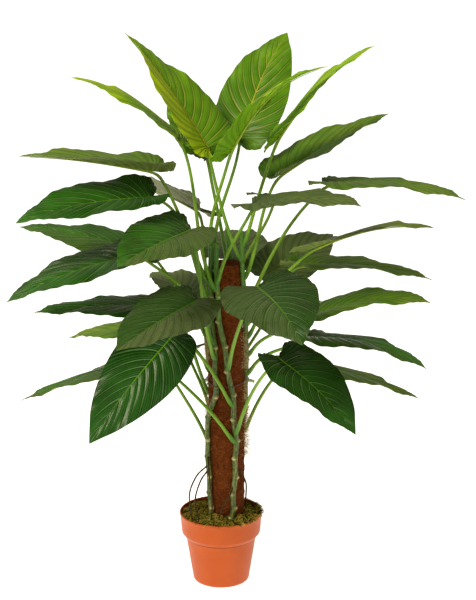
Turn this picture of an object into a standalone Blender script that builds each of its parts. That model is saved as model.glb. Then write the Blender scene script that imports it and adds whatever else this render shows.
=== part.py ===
# A potted philodendron of the artificial kind: heart-shaped leaves on long
# petioles, five climbing stems tied to a coir pole, dried moss, a plastic pot.
# Metres, +Z up.  The origin is the centre of the pot's flat underside.
# The plant's front faces -Y.

import math

import bmesh
import bpy
import numpy as np

# ---- driving dimensions (metres and degrees unless a name says otherwise) ----
CM = 0.01
GAP = 0.0003                  # clearance between pieces that touch

POT_HEIGHT = 0.151
POT_RIM_RADIUS = 0.0868
POT_BASE_RADIUS = 0.060
POT_WALL = 0.0016
POT_COLLAR_BOTTOM = 0.108     # the collar's side runs from the rim down to here
POT_COLLAR_RADIUS = 0.0828
POT_STEP_BOTTOM = 0.0965      # under the collar the wall steps in
POT_STEP_RADIUS = 0.0737
POT_SIDES = 40

FILL_TOP = 0.128              # flat face on which the pole and the stems stand
MOSS_EDGE_TOP = 0.139
MOSS_CROWN = 0.013            # how far the moss rises above its edge
MOSS_LUMP = 0.004
MOSS_SIDES = 24
MOSS_CUT = 0.0005             # how much wider than a stem and its clearance the cut in the moss is

POLE_X = 0.012                # the pole stands a little right of the pot's centre
POLE_TOP = 0.690
POLE_RADII = ((13, 3.55), (30, 3.7), (50, 3.6), (60, 3.2), (69, 2.8))   # height, radius in cm
POLE_SIDES = 20

STEM_RADIUS = 0.0055
STEM_TOP_RADIUS = 0.0045
STEM_TAPER = (0.60, 0.76)     # the stems thin between these heights
STEM_ROW = 0.030              # rise from one ring of a stem to the next
STEM_SIDES = 8
# Each stem's way round the pole: height in cm, heading about the pole in degrees.
STEMS = {
    "stem_front_left": ((13, 222), (20, 215), (28, 205), (34, 203), (38, 215), (42, 240),
                        (50, 238), (58, 222), (66, 205), (76, 200)),
    "stem_front_right": ((13, 285), (20, 290), (30, 298), (40, 290), (50, 270), (56, 254),
                         (62, 242), (74, 232)),
    "stem_right": ((13, 52), (22, 56), (30, 44), (38, 24), (50, 15), (58, 0), (64, -14), (76, -20)),
    "stem_back_left": ((13, 140), (30, 130), (50, 146), (76, 142)),
    "stem_back": ((13, 92), (30, 90), (50, 74), (76, 84)),
}

BLADE_THICKNESS = 0.003
# Half of a flat blade, as shares of its length: along the midrib, out from it.
BLADE_OUTLINE = ((-0.025, 0.004), (-0.065, 0.05), (-0.085, 0.115), (-0.045, 0.195), (0.09, 0.252),
                 (0.33, 0.262), (0.58, 0.212), (0.78, 0.135), (0.91, 0.058), (1.00, 0.002))
BLADE_ROWS = (0.0, 0.14, 0.27, 0.37, 0.50, 0.62, 0.76, 0.88, 1.0)
BLADE_COLUMNS = (-1.0, -0.5, 0.0, 0.5, 1.0)
FOLD_AT_BASE = 1.2            # a leaf's fold is this much of its value at the base ...
FOLD_LOSS = 0.5               # ... and loses this much on the way to the tip
LOBE_RISE = 14                # degrees by which the lobes stand up more than the blade
LOBE_FROM = 0.22              # the extra rise begins here along the midrib ...
LOBE_SPAN = 0.34              # ... and is whole this much further back
BLADE_CURL = 0.35             # how fast the halves flatten out towards the margin
AXIS_STEPS = 40               # steps in which the midrib's bend is summed
SHEATH_HALF_WIDTH = 0.0048
SHEATH_HALF_HEIGHT = 0.0085
PETIOLE_RADIUS = 0.0038
PETIOLE_END_RADIUS = 0.0028
PETIOLE_SIDES = 5
FOOT_TOWARDS_LEAF = 1.6       # weight of the leaf's direction in the way the foot faces
PETIOLE_SINK = 0.8            # share of its radius by which the petiole lies in the blade
SHEATH_BULGE = 1.3            # the petiole is thicker by this just above its foot
MIDRIB_SHARE = 0.45           # the ridge under the blade ends here

# One row for each leaf.  Its petiole grows from `stem` at height `node`.  The
# blade's base lies `reach` from the pole's axis in the direction `azimuth`, at
# `height`; the line from base to tip points along `heading` at the slope `pitch`.
# `droop` is the bend of the blade from base to tip, `roll` its turn about the
# midrib, `twist` the change of that turn up to the tip and `fold` the lift of each
# half.  The petiole leaves its stem at the slope `rise` and meets the blade at the
# slope `arrive`.  `width` scales the blade sideways.  Lengths in cm, angles in degrees.
LEAF_COLUMNS = ("name", "stem", "node", "azimuth", "reach", "height", "heading", "pitch",
                "droop", "roll", "twist", "fold", "rise", "arrive", "length", "width")
LEAVES = (
    ("leaf_01", "stem_right", 70, 185, 3.6, 92.7, 150, 48, 15, -18, 38, 18, 68, 75, 29, 0.96),
    ("leaf_02", "stem_back_left", 71, 70, 8, 93, 62, 42, 28, 12, 0, 6, 75, 80, 29, 0.95),
    ("leaf_03", "stem_front_left", 73, 275, 8, 93, 340, 42, 50, 0, 0, 10, 60, 75, 27.5, 1),
    ("leaf_04", "stem_right", 73, 340, 10.5, 94.7, 345, 45, 30, 8, 0, 6, 75, 70, 27.5, 1),
    ("leaf_05", "stem_front_right", 64, 165, 9, 93.5, 187, 31, 35, -1, 0, 2, 68, 70, 26, 1),
    ("leaf_06", "stem_front_left", 65, 185, 13.5, 88, 200, 10, 10, 3, 0, 18, 68, 60, 28.5, 1),
    ("leaf_07", "stem_front_left", 61, 195, 15.5, 83.5, 210, -4, 18, -13, 0, 12, 68, 10, 29, 1),
    ("leaf_08", "stem_back_left", 60, 125, 9.5, 78, 120, 0, 10, 35, 0, 12, 68, 55, 28, 1),
    ("leaf_09", "stem_back_left", 52, 170, 15, 70, 172, 10, 15, -6, 0, 4, 68, 55, 28.5, 1),
    ("leaf_10", "stem_front_left", 53, 225, 10, 77.5, 243, -2, 8, -16, 0, 10, 68, 50, 28, 1),
    ("leaf_11", "stem_front_left", 57, 200, 18.5, 72.5, 210, -12, 18, -3, 0, 8, 68, 40, 29, 1),
    ("leaf_12", "stem_back_left", 40, 180, 12, 60, 205, 4, 10, -1, 0, 3, 68, 45, 28.5, 1),
    ("leaf_13", "stem_front_left", 50, 236, 10.5, 63.5, 239, -6, 8, -12, 0, 6, 68, 50, 28, 1),
    ("leaf_14", "stem_back_left", 47.2, 120, 11, 58.5, 115, 0, 15, 0, 0, 15, 68, 45, 25.5, 1),
    ("leaf_15", "stem_back_left", 45.2, 145, 13, 53, 150, -13, 15, -5, 0, 10, 68, 45, 28.5, 1),
    ("leaf_16", "stem_front_right", 32, 186, 15, 49.5, 190, -16, 12, 10, 0, 2, 60, 45, 28.5, 1),
    ("leaf_17", "stem_front_right", 40, 210, 12.5, 55.4, 218, -42, 12, -50, 0, 8, 60, 20, 27.5, 1),
    ("leaf_18", "stem_right", 66, 20, 11, 86, 20, 25, 10, 0, 0, 18, 68, 55, 27, 1),
    ("leaf_19", "stem_right", 60, 5, 20.5, 85, 333, -1, 28, -4, 0, 2, 68, 40, 29.5, 1),
    ("leaf_20", "stem_front_right", 66, 303, 10, 82.8, 318, 8, 22, 4, 0, 6, 68, 60, 27, 1),
    ("leaf_21", "stem_right", 56, 342, 17.5, 73, 330, 16, 30, -4, 0, 6, 68, 45, 28, 1),
    ("leaf_22", "stem_right", 53, 14, 14.7, 67.6, 343, -2, 22, -5, 0, 8, 68, 50, 28.5, 1),
    ("leaf_23", "stem_back", 50, 50, 11.5, 64, 55, 7, 10, 18, 0, 6, 68, 45, 28, 1),
    ("leaf_24", "stem_back", 58, 75, 9.5, 67, 96, 0, 10, -8, 0, 12, 68, 55, 28, 1),
    ("leaf_25", "stem_front_right", 48, 290, 18.5, 68.5, 283, -3, 20, 14, 0, 5, 68, 30, 33, 1),
    ("leaf_26", "stem_right", 49, 355, 16, 57.5, 335, 14, 35, 5, 0, 8, 68, 40, 28, 1),
    ("leaf_27", "stem_right", 45, 345, 16.5, 54.5, 330, -5, 38, -8, 0, 2, 68, 40, 27.5, 1),
    ("leaf_28", "stem_right", 32, 20, 14.5, 46.8, 335, -9, 15, -12, 0, 2, 68, 40, 28.5, 1),
    ("leaf_29", "stem_front_right", 34, 304, 19, 53.5, 299, -14, 20, 10, 0, 16, 68, 30, 28.5, 0.86),
    ("leaf_30", "stem_back", 66, 117, 8.5, 89.5, 118, 30, 15, 0, 0, 8, 74, 70, 20, 1),
    ("leaf_31", "stem_back", 62, 45, 14, 80, 75, -12, 10, 0, 0, 5, 68, 45, 27, 1),
    ("leaf_32", "stem_back", 41, 50, 15, 57, 65, -14, 12, 0, 0, 8, 68, 40, 26, 1),
    ("leaf_33", "stem_back_left", 36, 130, 13, 47, 115, -20, 12, 0, 0, 8, 68, 40, 27, 1),
    ("leaf_34", "stem_back_left", 28, 165, 13, 46, 125, -16, 12, 0, 0, 8, 68, 40, 24, 1),
    ("leaf_35", "stem_back", 30, 90, 8, 40, 88, -15, 12, 0, 0, 8, 60, 50, 22, 1),
)

ROOT_RADIUS = 0.0015
ROOT_SIDES = 4
ROOT_STEPS = 8
# Aerial roots: stem, height of the start, then the bends as offsets from the
# pole's axis to the right and forward and a height, all in cm.
ROOTS = {
    "aerial_root_1": ("stem_front_left", 26.0, ((-6.2, 4.2, 24.5), (-7.7, 4.4, 20.5), (-7.2, 4.6, 15.4))),
    "aerial_root_2": ("stem_front_left", 25.0, ((-5.4, 4.6, 23.5), (-6.5, 4.9, 19.5), (-5.8, 5.1, 15.4))),
    "aerial_root_3": ("stem_front_right", 26.0, ((3.2, 3.4, 24.6), (4.1, 1.2, 21.4), (3.9, -2.4, 15.4))),
    "aerial_root_4": ("stem_front_left", 28.0, ((-3.6, 4.6, 25.0), (-3.0, 5.2, 19.5), (-3.2, 5.4, 15.5))),
    "aerial_root_5": ("stem_front_right", 22.0, ((0.6, 5.3, 20.5), (-0.9, 5.5, 18.0), (-1.5, 5.6, 15.6))),
}

SHARP_ANGLE = 40              # edges sharper than this stay sharp in the shading

TIE_HEIGHT = 0.440
TIE_RADIUS = 0.0008
TIE_POINTS = 36

COLOURS = {                   # linear red, green, blue and roughness
    "leaf": ((0.05, 0.16, 0.03), 0.45),
    "young_leaf": ((0.20, 0.40, 0.03), 0.5),
    "stem": ((0.10, 0.14, 0.06), 0.6),
    "coir": ((0.16, 0.06, 0.03), 0.95),
    "root": ((0.05, 0.025, 0.012), 0.8),
    "moss": ((0.09, 0.10, 0.03), 1.0),
    "plastic": ((0.60, 0.13, 0.03), 0.45),
    "filler": ((0.25, 0.20, 0.15), 0.9),
}
YOUNG_LEAVES = ("leaf_01", "leaf_02", "leaf_03", "leaf_04", "leaf_05")


# ---- scene, materials and mesh helpers ----
def clear_scene():
    for obj in list(bpy.data.objects):
        bpy.data.objects.remove(obj, do_unlink=True)


def material(kind):
    found = bpy.data.materials.get(kind)
    if found:
        return found
    colour, roughness = COLOURS[kind]
    made = bpy.data.materials.new(kind)
    made.use_nodes = True
    shader = made.node_tree.nodes["Principled BSDF"]
    shader.inputs["Base Color"].default_value = (*colour, 1.0)
    shader.inputs["Roughness"].default_value = roughness
    made.diffuse_color = (*colour, 1.0)
    return made


def add_object(name, vertices, faces, kind):
    mesh = bpy.data.meshes.new(name)
    mesh.from_pydata([tuple(v) for v in vertices], [], [tuple(f) for f in faces])
    work = bmesh.new()
    work.from_mesh(mesh)
    bmesh.ops.recalc_face_normals(work, faces=work.faces)
    bmesh.ops.triangulate(work, faces=[f for f in work.faces if len(f.verts) > 4])
    work.to_mesh(mesh)
    work.free()
    mesh.materials.append(material(kind))
    obj = bpy.data.objects.new(name, mesh)
    bpy.context.scene.collection.objects.link(obj)
    return obj


def boolean(target, tools, operation):
    # One Boolean with a collection of tools, applied; the tools are then removed.
    group = bpy.data.collections.new(target.name + "_tools")
    bpy.context.scene.collection.children.link(group)
    for tool in tools:
        bpy.context.scene.collection.objects.unlink(tool)
        group.objects.link(tool)
    cut = target.modifiers.new("boolean", "BOOLEAN")
    cut.operation = operation
    cut.solver = "EXACT"
    cut.operand_type = "COLLECTION"
    cut.collection = group
    bpy.context.view_layer.update()
    evaluated = target.evaluated_get(bpy.context.evaluated_depsgraph_get())
    result = bpy.data.meshes.new_from_object(evaluated)
    target.modifiers.remove(cut)
    target.data = result
    for tool in tools:
        bpy.data.objects.remove(tool, do_unlink=True)
    bpy.data.collections.remove(group)
    return target


def soft_shade(obj):
    obj.data.shade_smooth()
    obj.data.set_sharp_from_angle(angle=math.radians(SHARP_ANGLE))


def unit(vector):
    return vector / np.linalg.norm(vector)


def turned(profile, sides):
    # A profile of (radius, height) turned about Z; its two ends lie on the axis.
    angles = [2 * math.pi * k / sides for k in range(sides)]
    vertices = [(0.0, 0.0, profile[0][1])]
    for radius, height in profile[1:-1]:
        vertices += [(radius * math.cos(a), radius * math.sin(a), height) for a in angles]
    vertices.append((0.0, 0.0, profile[-1][1]))
    last = len(vertices) - 1
    rings = len(profile) - 2
    faces = []
    for k in range(sides):
        after = (k + 1) % sides
        faces.append((0, 1 + after, 1 + k))
        for ring in range(rings - 1):
            low = 1 + ring * sides
            high = low + sides
            faces.append((low + k, low + after, high + after, high + k))
        top = 1 + (rings - 1) * sides
        faces.append((last, top + k, top + after))
    return vertices, faces


def tube(points, radii, sides, closed=False, first_ring=None):
    # Rings square to the path, carried along it without twist, and flat ends.
    points = [np.array(p, float) for p in points]
    count = len(points)
    tangents = []
    for k in range(count):
        before = points[k - 1] if closed or k > 0 else points[k]
        after = points[(k + 1) % count] if closed or k < count - 1 else points[k]
        tangents.append(unit(after - before))
    side = unit(np.cross(tangents[0], (0.0, 0.0, 1.0)))
    vertices = []
    for point, tangent, radius in zip(points, tangents, radii):
        side = unit(side - tangent * np.dot(side, tangent))
        up = np.cross(side, tangent)
        for k in range(sides):
            angle = 2 * math.pi * (k + 0.5) / sides
            vertices.append(point + radius * (math.cos(angle) * side + math.sin(angle) * up))
    if first_ring is not None:
        vertices[:sides] = first_ring
    faces = []
    for ring in range(count if closed else count - 1):
        low = ring * sides
        high = (ring + 1) % count * sides
        for k in range(sides):
            after = (k + 1) % sides
            faces.append((low + k, low + after, high + after, high + k))
    if not closed:
        faces.append(tuple(range(sides)))
        faces.append(tuple(range((count - 1) * sides, count * sides)))
    return vertices, faces


# ---- pole and stems ----
def pole_radius(height):
    heights, radii = zip(*POLE_RADII)
    return float(np.interp(height / CM, heights, radii)) * CM


def stem_radius(height):
    return float(np.interp(height, STEM_TAPER, (STEM_RADIUS, STEM_TOP_RADIUS)))


def stem_centre(stem, height):
    # The stem lies against the pole, one gap clear of it.
    heights, headings = zip(*STEMS[stem])
    heading = math.radians(float(np.interp(height / CM, heights, headings)))
    out = pole_radius(height) + GAP + STEM_RADIUS
    return np.array((POLE_X + out * math.cos(heading), out * math.sin(heading), height))


def stem_path(stem, top):
    bottom = FILL_TOP + GAP
    rows = max(2, round((top - bottom) / STEM_ROW))
    return [stem_centre(stem, bottom + (top - bottom) * k / rows) for k in range(rows + 1)]


def stem_tube(stem, extra, top, bottom_drop=0.0):
    path = stem_path(stem, top)
    radii = [stem_radius(p[2]) + extra for p in path]
    path[0] = path[0] - np.array((0.0, 0.0, bottom_drop))
    return tube(path, radii, STEM_SIDES)


def flat_foot(vertices, sides, height):
    # The first ring of an upright tube is laid level, so that it stands flat.
    for vertex in vertices[:sides]:
        vertex[2] = height
    return vertices


def build_stems():
    for name, route in STEMS.items():
        vertices, faces = stem_tube(name, 0.0, route[-1][0] * CM)
        flat_foot(vertices, STEM_SIDES, FILL_TOP + GAP)
        soft_shade(add_object(name, vertices, faces, "stem"))


def build_pole():
    # A mat of coir round a core: straight, a little lumpy, flat at both ends.
    bottom = FILL_TOP + GAP
    heights = np.linspace(bottom, POLE_TOP, 13)
    profile = [(0.0, bottom)]
    profile += [(pole_radius(h), h) for h in heights]
    profile.append((0.0, POLE_TOP))
    vertices, faces = turned(profile, POLE_SIDES)
    vertices = [(x + POLE_X, y, z) for x, y, z in vertices]
    soft_shade(add_object("coir_pole", vertices, faces, "coir"))


# ---- pot, filling and moss ----
def pot_inside(height):
    heights = (0.009, POT_STEP_BOTTOM, POT_COLLAR_BOTTOM, POT_HEIGHT)
    radii = (POT_BASE_RADIUS, POT_STEP_RADIUS, POT_COLLAR_RADIUS, POT_RIM_RADIUS)
    return float(np.interp(height, heights, radii)) - 1.25 * POT_WALL


def build_pot():
    rim = POT_RIM_RADIUS
    outside = [(0.0, 0.0), (POT_BASE_RADIUS - 0.010, 0.0), (POT_BASE_RADIUS - 0.003, 0.0025),
               (POT_BASE_RADIUS, 0.009), (POT_STEP_RADIUS, POT_STEP_BOTTOM),
               (POT_COLLAR_RADIUS, POT_COLLAR_BOTTOM), (rim - 0.0015, POT_HEIGHT - 0.006),
               (rim, POT_HEIGHT - 0.0045), (rim, POT_HEIGHT - 0.001),
               (rim - 0.001, POT_HEIGHT), (rim - 0.003, POT_HEIGHT)]
    inside = [(pot_inside(h), h) for h in (POT_HEIGHT - 0.002, POT_COLLAR_BOTTOM, POT_STEP_BOTTOM, 0.009)]
    inside.append((0.0, POT_WALL))
    inside.insert(-1, (POT_BASE_RADIUS - 0.010, POT_WALL))
    vertices, faces = turned(outside + inside, POT_SIDES)
    soft_shade(add_object("pot", vertices, faces, "plastic"))


def build_fill():
    # The weight in the pot that holds the pole and the stems; its top is level.
    levels = (0.012, POT_STEP_BOTTOM, POT_COLLAR_BOTTOM, FILL_TOP)
    sides = [(pot_inside(h) - 3 * GAP, h) for h in levels]
    bottom = POT_WALL + GAP
    profile = [(0.0, bottom), (POT_BASE_RADIUS - 0.012, bottom)] + sides + [(0.0, FILL_TOP)]
    vertices, faces = turned(profile, POT_SIDES)
    soft_shade(add_object("pot_fill", vertices, faces, "filler"))


def build_moss():
    # A lumpy cushion from wall to wall, cut clear of the pole and of each stem.
    chance = np.random.default_rng(7)
    bottom = FILL_TOP + GAP
    edge = pot_inside(bottom) - 4 * GAP
    shares = (0.99, 0.86, 0.66, 0.44, 0.22)
    profile = [(0.0, bottom), (edge, bottom), (edge, MOSS_EDGE_TOP)]
    profile += [(edge * s, MOSS_EDGE_TOP + MOSS_CROWN * math.sqrt(1 - s * s)) for s in shares]
    profile.append((0.0, MOSS_EDGE_TOP + MOSS_CROWN))
    vertices, faces = turned(profile, MOSS_SIDES)
    lumpy = []
    for x, y, z in vertices:
        lift = chance.uniform(-1.0, 1.0) * MOSS_LUMP if z > MOSS_EDGE_TOP + 0.001 else 0.0
        lumpy.append((x, y, z + lift))
    moss = add_object("moss", lumpy, faces, "moss")
    cutters = []
    for name in STEMS:
        cutter = stem_tube(name, 2 * GAP + MOSS_CUT, 0.20, 0.01)
        cutters.append(add_object(name + "_cutter", *cutter, "moss"))
    reach = POLE_RADII[0][1] * CM + 0.0006
    profile = [(0.0, bottom - 0.01), (reach, bottom - 0.01), (reach, 0.2), (0.0, 0.2)]
    vertices, faces = turned(profile, POLE_SIDES)
    vertices = [(x + POLE_X, y, z) for x, y, z in vertices]
    cutters.append(add_object("pole_cutter", vertices, faces, "moss"))
    soft_shade(boolean(moss, cutters, "DIFFERENCE"))


# ---- leaves ----
def through_points(points, share):
    # A smooth curve through the points (Catmull-Rom), read at a share of its way.
    points = np.array(points, float)
    ends = np.vstack((2 * points[0] - points[1], points, 2 * points[-1] - points[-2]))
    place = min(max(share, 0.0), 1.0) * (len(points) - 1)
    k = min(int(place), len(points) - 2)
    t = place - k
    a, b, c, d = ends[k:k + 4]
    return 0.5 * (2 * b + (c - a) * t + (2 * a - 5 * b + 4 * c - d) * t ** 2
                  + (3 * b - a - 3 * c + d) * t ** 3)


def blade_flat(row, column):
    # Each row of the blade follows a side vein: it leaves the midrib forwards and
    # bows out to the margin.  The first third of the rows fan out from the base.
    edge_x, edge_y = through_points(BLADE_OUTLINE, row)
    start = -0.012 * (1 - 3 * row) if row < 1 / 3 else ((row - 1 / 3) * 1.5) ** 1.6
    t = abs(column)
    x = start * (1 - t) ** 2 + 2 * t * (1 - t) * (start + 0.3 * (edge_x - start)) + edge_x * t * t
    y = 2 * t * (1 - t) * 0.6 * edge_y + edge_y * t * t
    return x, math.copysign(y, column)


def blade_axis(leaf):
    # The midrib bends down from base to tip; the mean slope is the leaf's pitch.
    shares = np.linspace(0.0, 1.0, AXIS_STEPS + 1)
    slope = np.radians(leaf["pitch"] + 0.4 * leaf["droop"] - leaf["droop"] * shares ** 1.5)
    heading = math.radians(leaf["heading"])
    along = np.stack((np.cos(slope) * math.cos(heading), np.cos(slope) * math.sin(heading),
                      np.sin(slope)), 1)
    steps = (along[1:] + along[:-1]) / 2 * leaf["length"] * CM / AXIS_STEPS
    line = leaf_base(leaf) + np.vstack((np.zeros(3), np.cumsum(steps, 0)))
    return shares, along, line


def leaf_base(leaf):
    azimuth = math.radians(leaf["azimuth"])
    reach = leaf["reach"] * CM
    return np.array((POLE_X + reach * math.cos(azimuth), reach * math.sin(azimuth), leaf["height"] * CM))


def blade_frame(leaf, axis, x):
    # Midrib point, direction, left side and upper side at a share x of the length.
    shares, along, line = axis
    inner = min(max(x, 0.0), 1.0)
    tangent = unit(np.array([np.interp(inner, shares, along[:, k]) for k in range(3)]))
    point = np.array([np.interp(inner, shares, line[:, k]) for k in range(3)])
    heading = math.radians(leaf["heading"])
    left = np.array((-math.sin(heading), math.cos(heading), 0.0))
    upper = np.cross(tangent, left)
    roll = math.radians(leaf["roll"] + leaf["twist"] * inner)
    across = left * math.cos(roll) + upper * math.sin(roll)
    upper = upper * math.cos(roll) - left * math.sin(roll)
    return point + tangent * (x - inner) * leaf["length"] * CM, across, upper


def blade_point(leaf, axis, x, y):
    # A point of the blade's middle surface: the halves stand up most at the base,
    # the lobes further still, and open out towards the tip and the margin.
    point, across, upper = blade_frame(leaf, axis, x)
    length = leaf["length"] * CM
    lobe = min(max((LOBE_FROM - x) / LOBE_SPAN, 0.0), 1.0)
    angle = math.radians(leaf["fold"] * (FOLD_AT_BASE - FOLD_LOSS * max(x, 0.0)) + LOBE_RISE * lobe)
    out = abs(y) * length
    lift = math.sin(angle) * out - BLADE_CURL * out * out / length
    return point + across * math.copysign(out * math.cos(angle), y) + upper * lift


def blade_mesh(leaf):
    axis = blade_axis(leaf)
    step = 0.002
    top, bottom = [], []
    for row in BLADE_ROWS:
        for column in BLADE_COLUMNS:
            x, y = blade_flat(row, column)
            y *= leaf["width"]
            middle = blade_point(leaf, axis, x, y)
            forward = blade_point(leaf, axis, x + step, y) - blade_point(leaf, axis, x - step, y)
            sideways = blade_point(leaf, axis, x, y + step) - blade_point(leaf, axis, x, y - step)
            normal = unit(np.cross(forward, sideways))
            top.append(middle + normal * BLADE_THICKNESS / 2)
            bottom.append(middle - normal * BLADE_THICKNESS / 2)
    rows, columns = len(BLADE_ROWS), len(BLADE_COLUMNS)
    count = rows * columns
    faces = []
    for r in range(rows - 1):
        for c in range(columns - 1):
            quad = (r * columns + c, r * columns + c + 1, (r + 1) * columns + c + 1, (r + 1) * columns + c)
            faces.append(quad)
            faces.append(tuple(count + k for k in reversed(quad)))
    border = [(0, c) for c in range(columns)] + [(r, columns - 1) for r in range(1, rows)]
    border += [(rows - 1, c) for c in range(columns - 2, -1, -1)] + [(r, 0) for r in range(rows - 2, 0, -1)]
    ring = [r * columns + c for r, c in border]
    for k, here in enumerate(ring):
        after = ring[(k + 1) % len(ring)]
        faces.append((here, count + here, count + after, after))
    return top + bottom, faces


def seated_foot(stem, height, out, half_width, half_height, sides):
    # An upright oval ring that faces the stem along `out`, one gap clear of it.
    centre = stem_centre(stem, height)
    across = np.cross((0.0, 0.0, 1.0), out)
    start = centre + out * (stem_radius(height) + GAP)
    ring = []
    for k in range(sides):
        angle = 2 * math.pi * (k + 0.5) / sides
        ring.append(start - half_width * math.cos(angle) * across
                    + half_height * math.sin(angle) * np.array((0.0, 0.0, 1.0)))
    clear = []
    for corner in ring:
        beside = stem_centre(stem, corner[2])
        clear.append(np.dot(corner - beside, out) - stem_radius(corner[2]) - GAP)
    push = out * max(0.0, -min(clear))
    return start + push, [corner + push for corner in ring]


def petiole_start(leaf):
    # The foot faces away from the pole and rather more towards its leaf.
    height = leaf["node"] * CM
    centre = stem_centre(leaf["stem"], height)
    outward = centre - np.array((POLE_X, 0.0, height))
    towards = leaf_base(leaf) - centre
    towards[2] = 0.0
    out = unit(unit(outward) + FOOT_TOWARDS_LEAF * unit(towards))
    start, ring = seated_foot(leaf["stem"], height, out, SHEATH_HALF_WIDTH, SHEATH_HALF_HEIGHT,
                              PETIOLE_SIDES)
    return start, out, ring


def petiole_mesh(leaf):
    # One smooth curve from the stem to the blade, going on as the ridge under it.
    start, out, foot = petiole_start(leaf)
    axis = blade_axis(leaf)
    heading = math.radians(leaf["heading"])
    base, _, upper = blade_frame(leaf, axis, 0.0)
    end = base - upper * PETIOLE_END_RADIUS * PETIOLE_SINK
    span = np.linalg.norm(end - start)
    rise = math.radians(leaf["rise"])
    arrive = math.radians(leaf["arrive"])
    leave = out * math.cos(rise) + np.array((0.0, 0.0, math.sin(rise)))
    onto = np.array((math.cos(heading) * math.cos(arrive), math.sin(heading) * math.cos(arrive),
                     math.sin(arrive)))
    a, b, c, d = start, start + leave * span * 0.4, end - onto * span * 0.35, end
    points, radii = [], []
    for t in (0.0, 0.07, 0.25, 0.45, 0.65, 0.85, 1.0):
        points.append(a * (1 - t) ** 3 + 3 * b * t * (1 - t) ** 2 + 3 * c * t * t * (1 - t) + d * t ** 3)
        radii.append(PETIOLE_RADIUS + (PETIOLE_END_RADIUS - PETIOLE_RADIUS) * t)
    radii[1] = PETIOLE_RADIUS * SHEATH_BULGE
    for x in (0.12, MIDRIB_SHARE):
        point, _, upper = blade_frame(leaf, axis, x)
        radius = PETIOLE_END_RADIUS * (1 - 0.6 * x / MIDRIB_SHARE)
        points.append(point - upper * radius * PETIOLE_SINK)
        radii.append(radius)
    return tube(points, radii, PETIOLE_SIDES, first_ring=foot)


def build_leaves():
    for row in LEAVES:
        leaf = dict(zip(LEAF_COLUMNS, row))
        kind = "young_leaf" if leaf["name"] in YOUNG_LEAVES else "leaf"
        blade = add_object(leaf["name"] + "_blade", *blade_mesh(leaf), kind)
        petiole = add_object(leaf["name"], *petiole_mesh(leaf), kind)
        soft_shade(boolean(petiole, [blade], "UNION"))


# ---- aerial roots and the tie ----
def build_roots():
    for name, (stem, height, bends) in ROOTS.items():
        centre = stem_centre(stem, height * CM)
        ways = [np.array((POLE_X + x * CM, -y * CM, z * CM)) for x, y, z in bends]
        out = ways[0] - centre
        out[2] = 0.0
        out = unit(out)
        start, ring = seated_foot(stem, height * CM, out, ROOT_RADIUS, ROOT_RADIUS, ROOT_SIDES)
        route = [start] + ways
        path = [through_points(route, k / ROOT_STEPS) for k in range(ROOT_STEPS + 1)]
        vertices, faces = tube(path, [ROOT_RADIUS] * len(path), ROOT_SIDES, first_ring=ring)
        soft_shade(add_object(name, vertices, faces, "root"))


def build_tie():
    # A wire drawn tight round the pole and the stems: each point lies on whichever
    # of those round outlines reaches furthest in its direction.
    circles = [(np.array((POLE_X, 0.0)), pole_radius(TIE_HEIGHT))]
    circles += [(stem_centre(name, TIE_HEIGHT)[:2], STEM_RADIUS + 0.0002) for name in STEMS]
    points = []
    for k in range(TIE_POINTS):
        angle = 2 * math.pi * k / TIE_POINTS
        facing = np.array((math.cos(angle), math.sin(angle)))
        centre, radius = max(circles, key=lambda c: np.dot(c[0], facing) + c[1])
        place = centre + facing * (radius + GAP + 1.5 * TIE_RADIUS)
        points.append((place[0], place[1], TIE_HEIGHT))
    vertices, faces = tube(points, [TIE_RADIUS] * TIE_POINTS, 4, closed=True)
    soft_shade(add_object("tie_wire", vertices, faces, "root"))


def main():
    clear_scene()
    build_pot()
    build_fill()
    build_moss()
    build_pole()
    build_stems()
    build_leaves()
    build_roots()
    build_tie()


main()
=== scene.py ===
# A potted philodendron of the artificial kind, dressed: heart-shaped leaves on long petioles,
# five climbing stems tied to a coir pole, dried moss and a plastic pot.
# Metres, +Z up, the front faces -Y.
import math
from functools import partial
import bpy
import numpy as np
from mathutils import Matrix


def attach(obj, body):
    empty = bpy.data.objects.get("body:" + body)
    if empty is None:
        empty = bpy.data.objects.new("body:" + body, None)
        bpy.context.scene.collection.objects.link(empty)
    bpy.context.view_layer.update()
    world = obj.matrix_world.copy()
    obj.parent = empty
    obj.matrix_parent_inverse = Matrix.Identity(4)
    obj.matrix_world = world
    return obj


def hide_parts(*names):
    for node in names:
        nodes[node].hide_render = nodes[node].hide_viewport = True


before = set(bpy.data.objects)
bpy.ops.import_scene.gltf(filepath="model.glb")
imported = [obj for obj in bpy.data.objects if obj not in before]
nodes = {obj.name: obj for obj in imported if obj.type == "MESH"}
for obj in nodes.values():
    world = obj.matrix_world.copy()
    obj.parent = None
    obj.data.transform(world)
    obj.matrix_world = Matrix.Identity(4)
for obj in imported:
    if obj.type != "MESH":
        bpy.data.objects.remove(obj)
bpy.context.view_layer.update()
print("frame loaded:", len(nodes), "nodes")

cm = 0.01
mm = 0.001
fullTurn = 2 * math.pi


def toLinear(code):
    # sRGB hex to linear: s/12.92 up to 0.04045, otherwise ((s + 0.055)/1.055)^2.4
    shares = [int(code[k:k + 2], 16) / 255 for k in (1, 3, 5)]
    linear = [s / 12.92 if s <= 0.04045 else ((s + 0.055) / 1.055) ** 2.4 for s in shares]
    return (*linear, 1.0)


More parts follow.
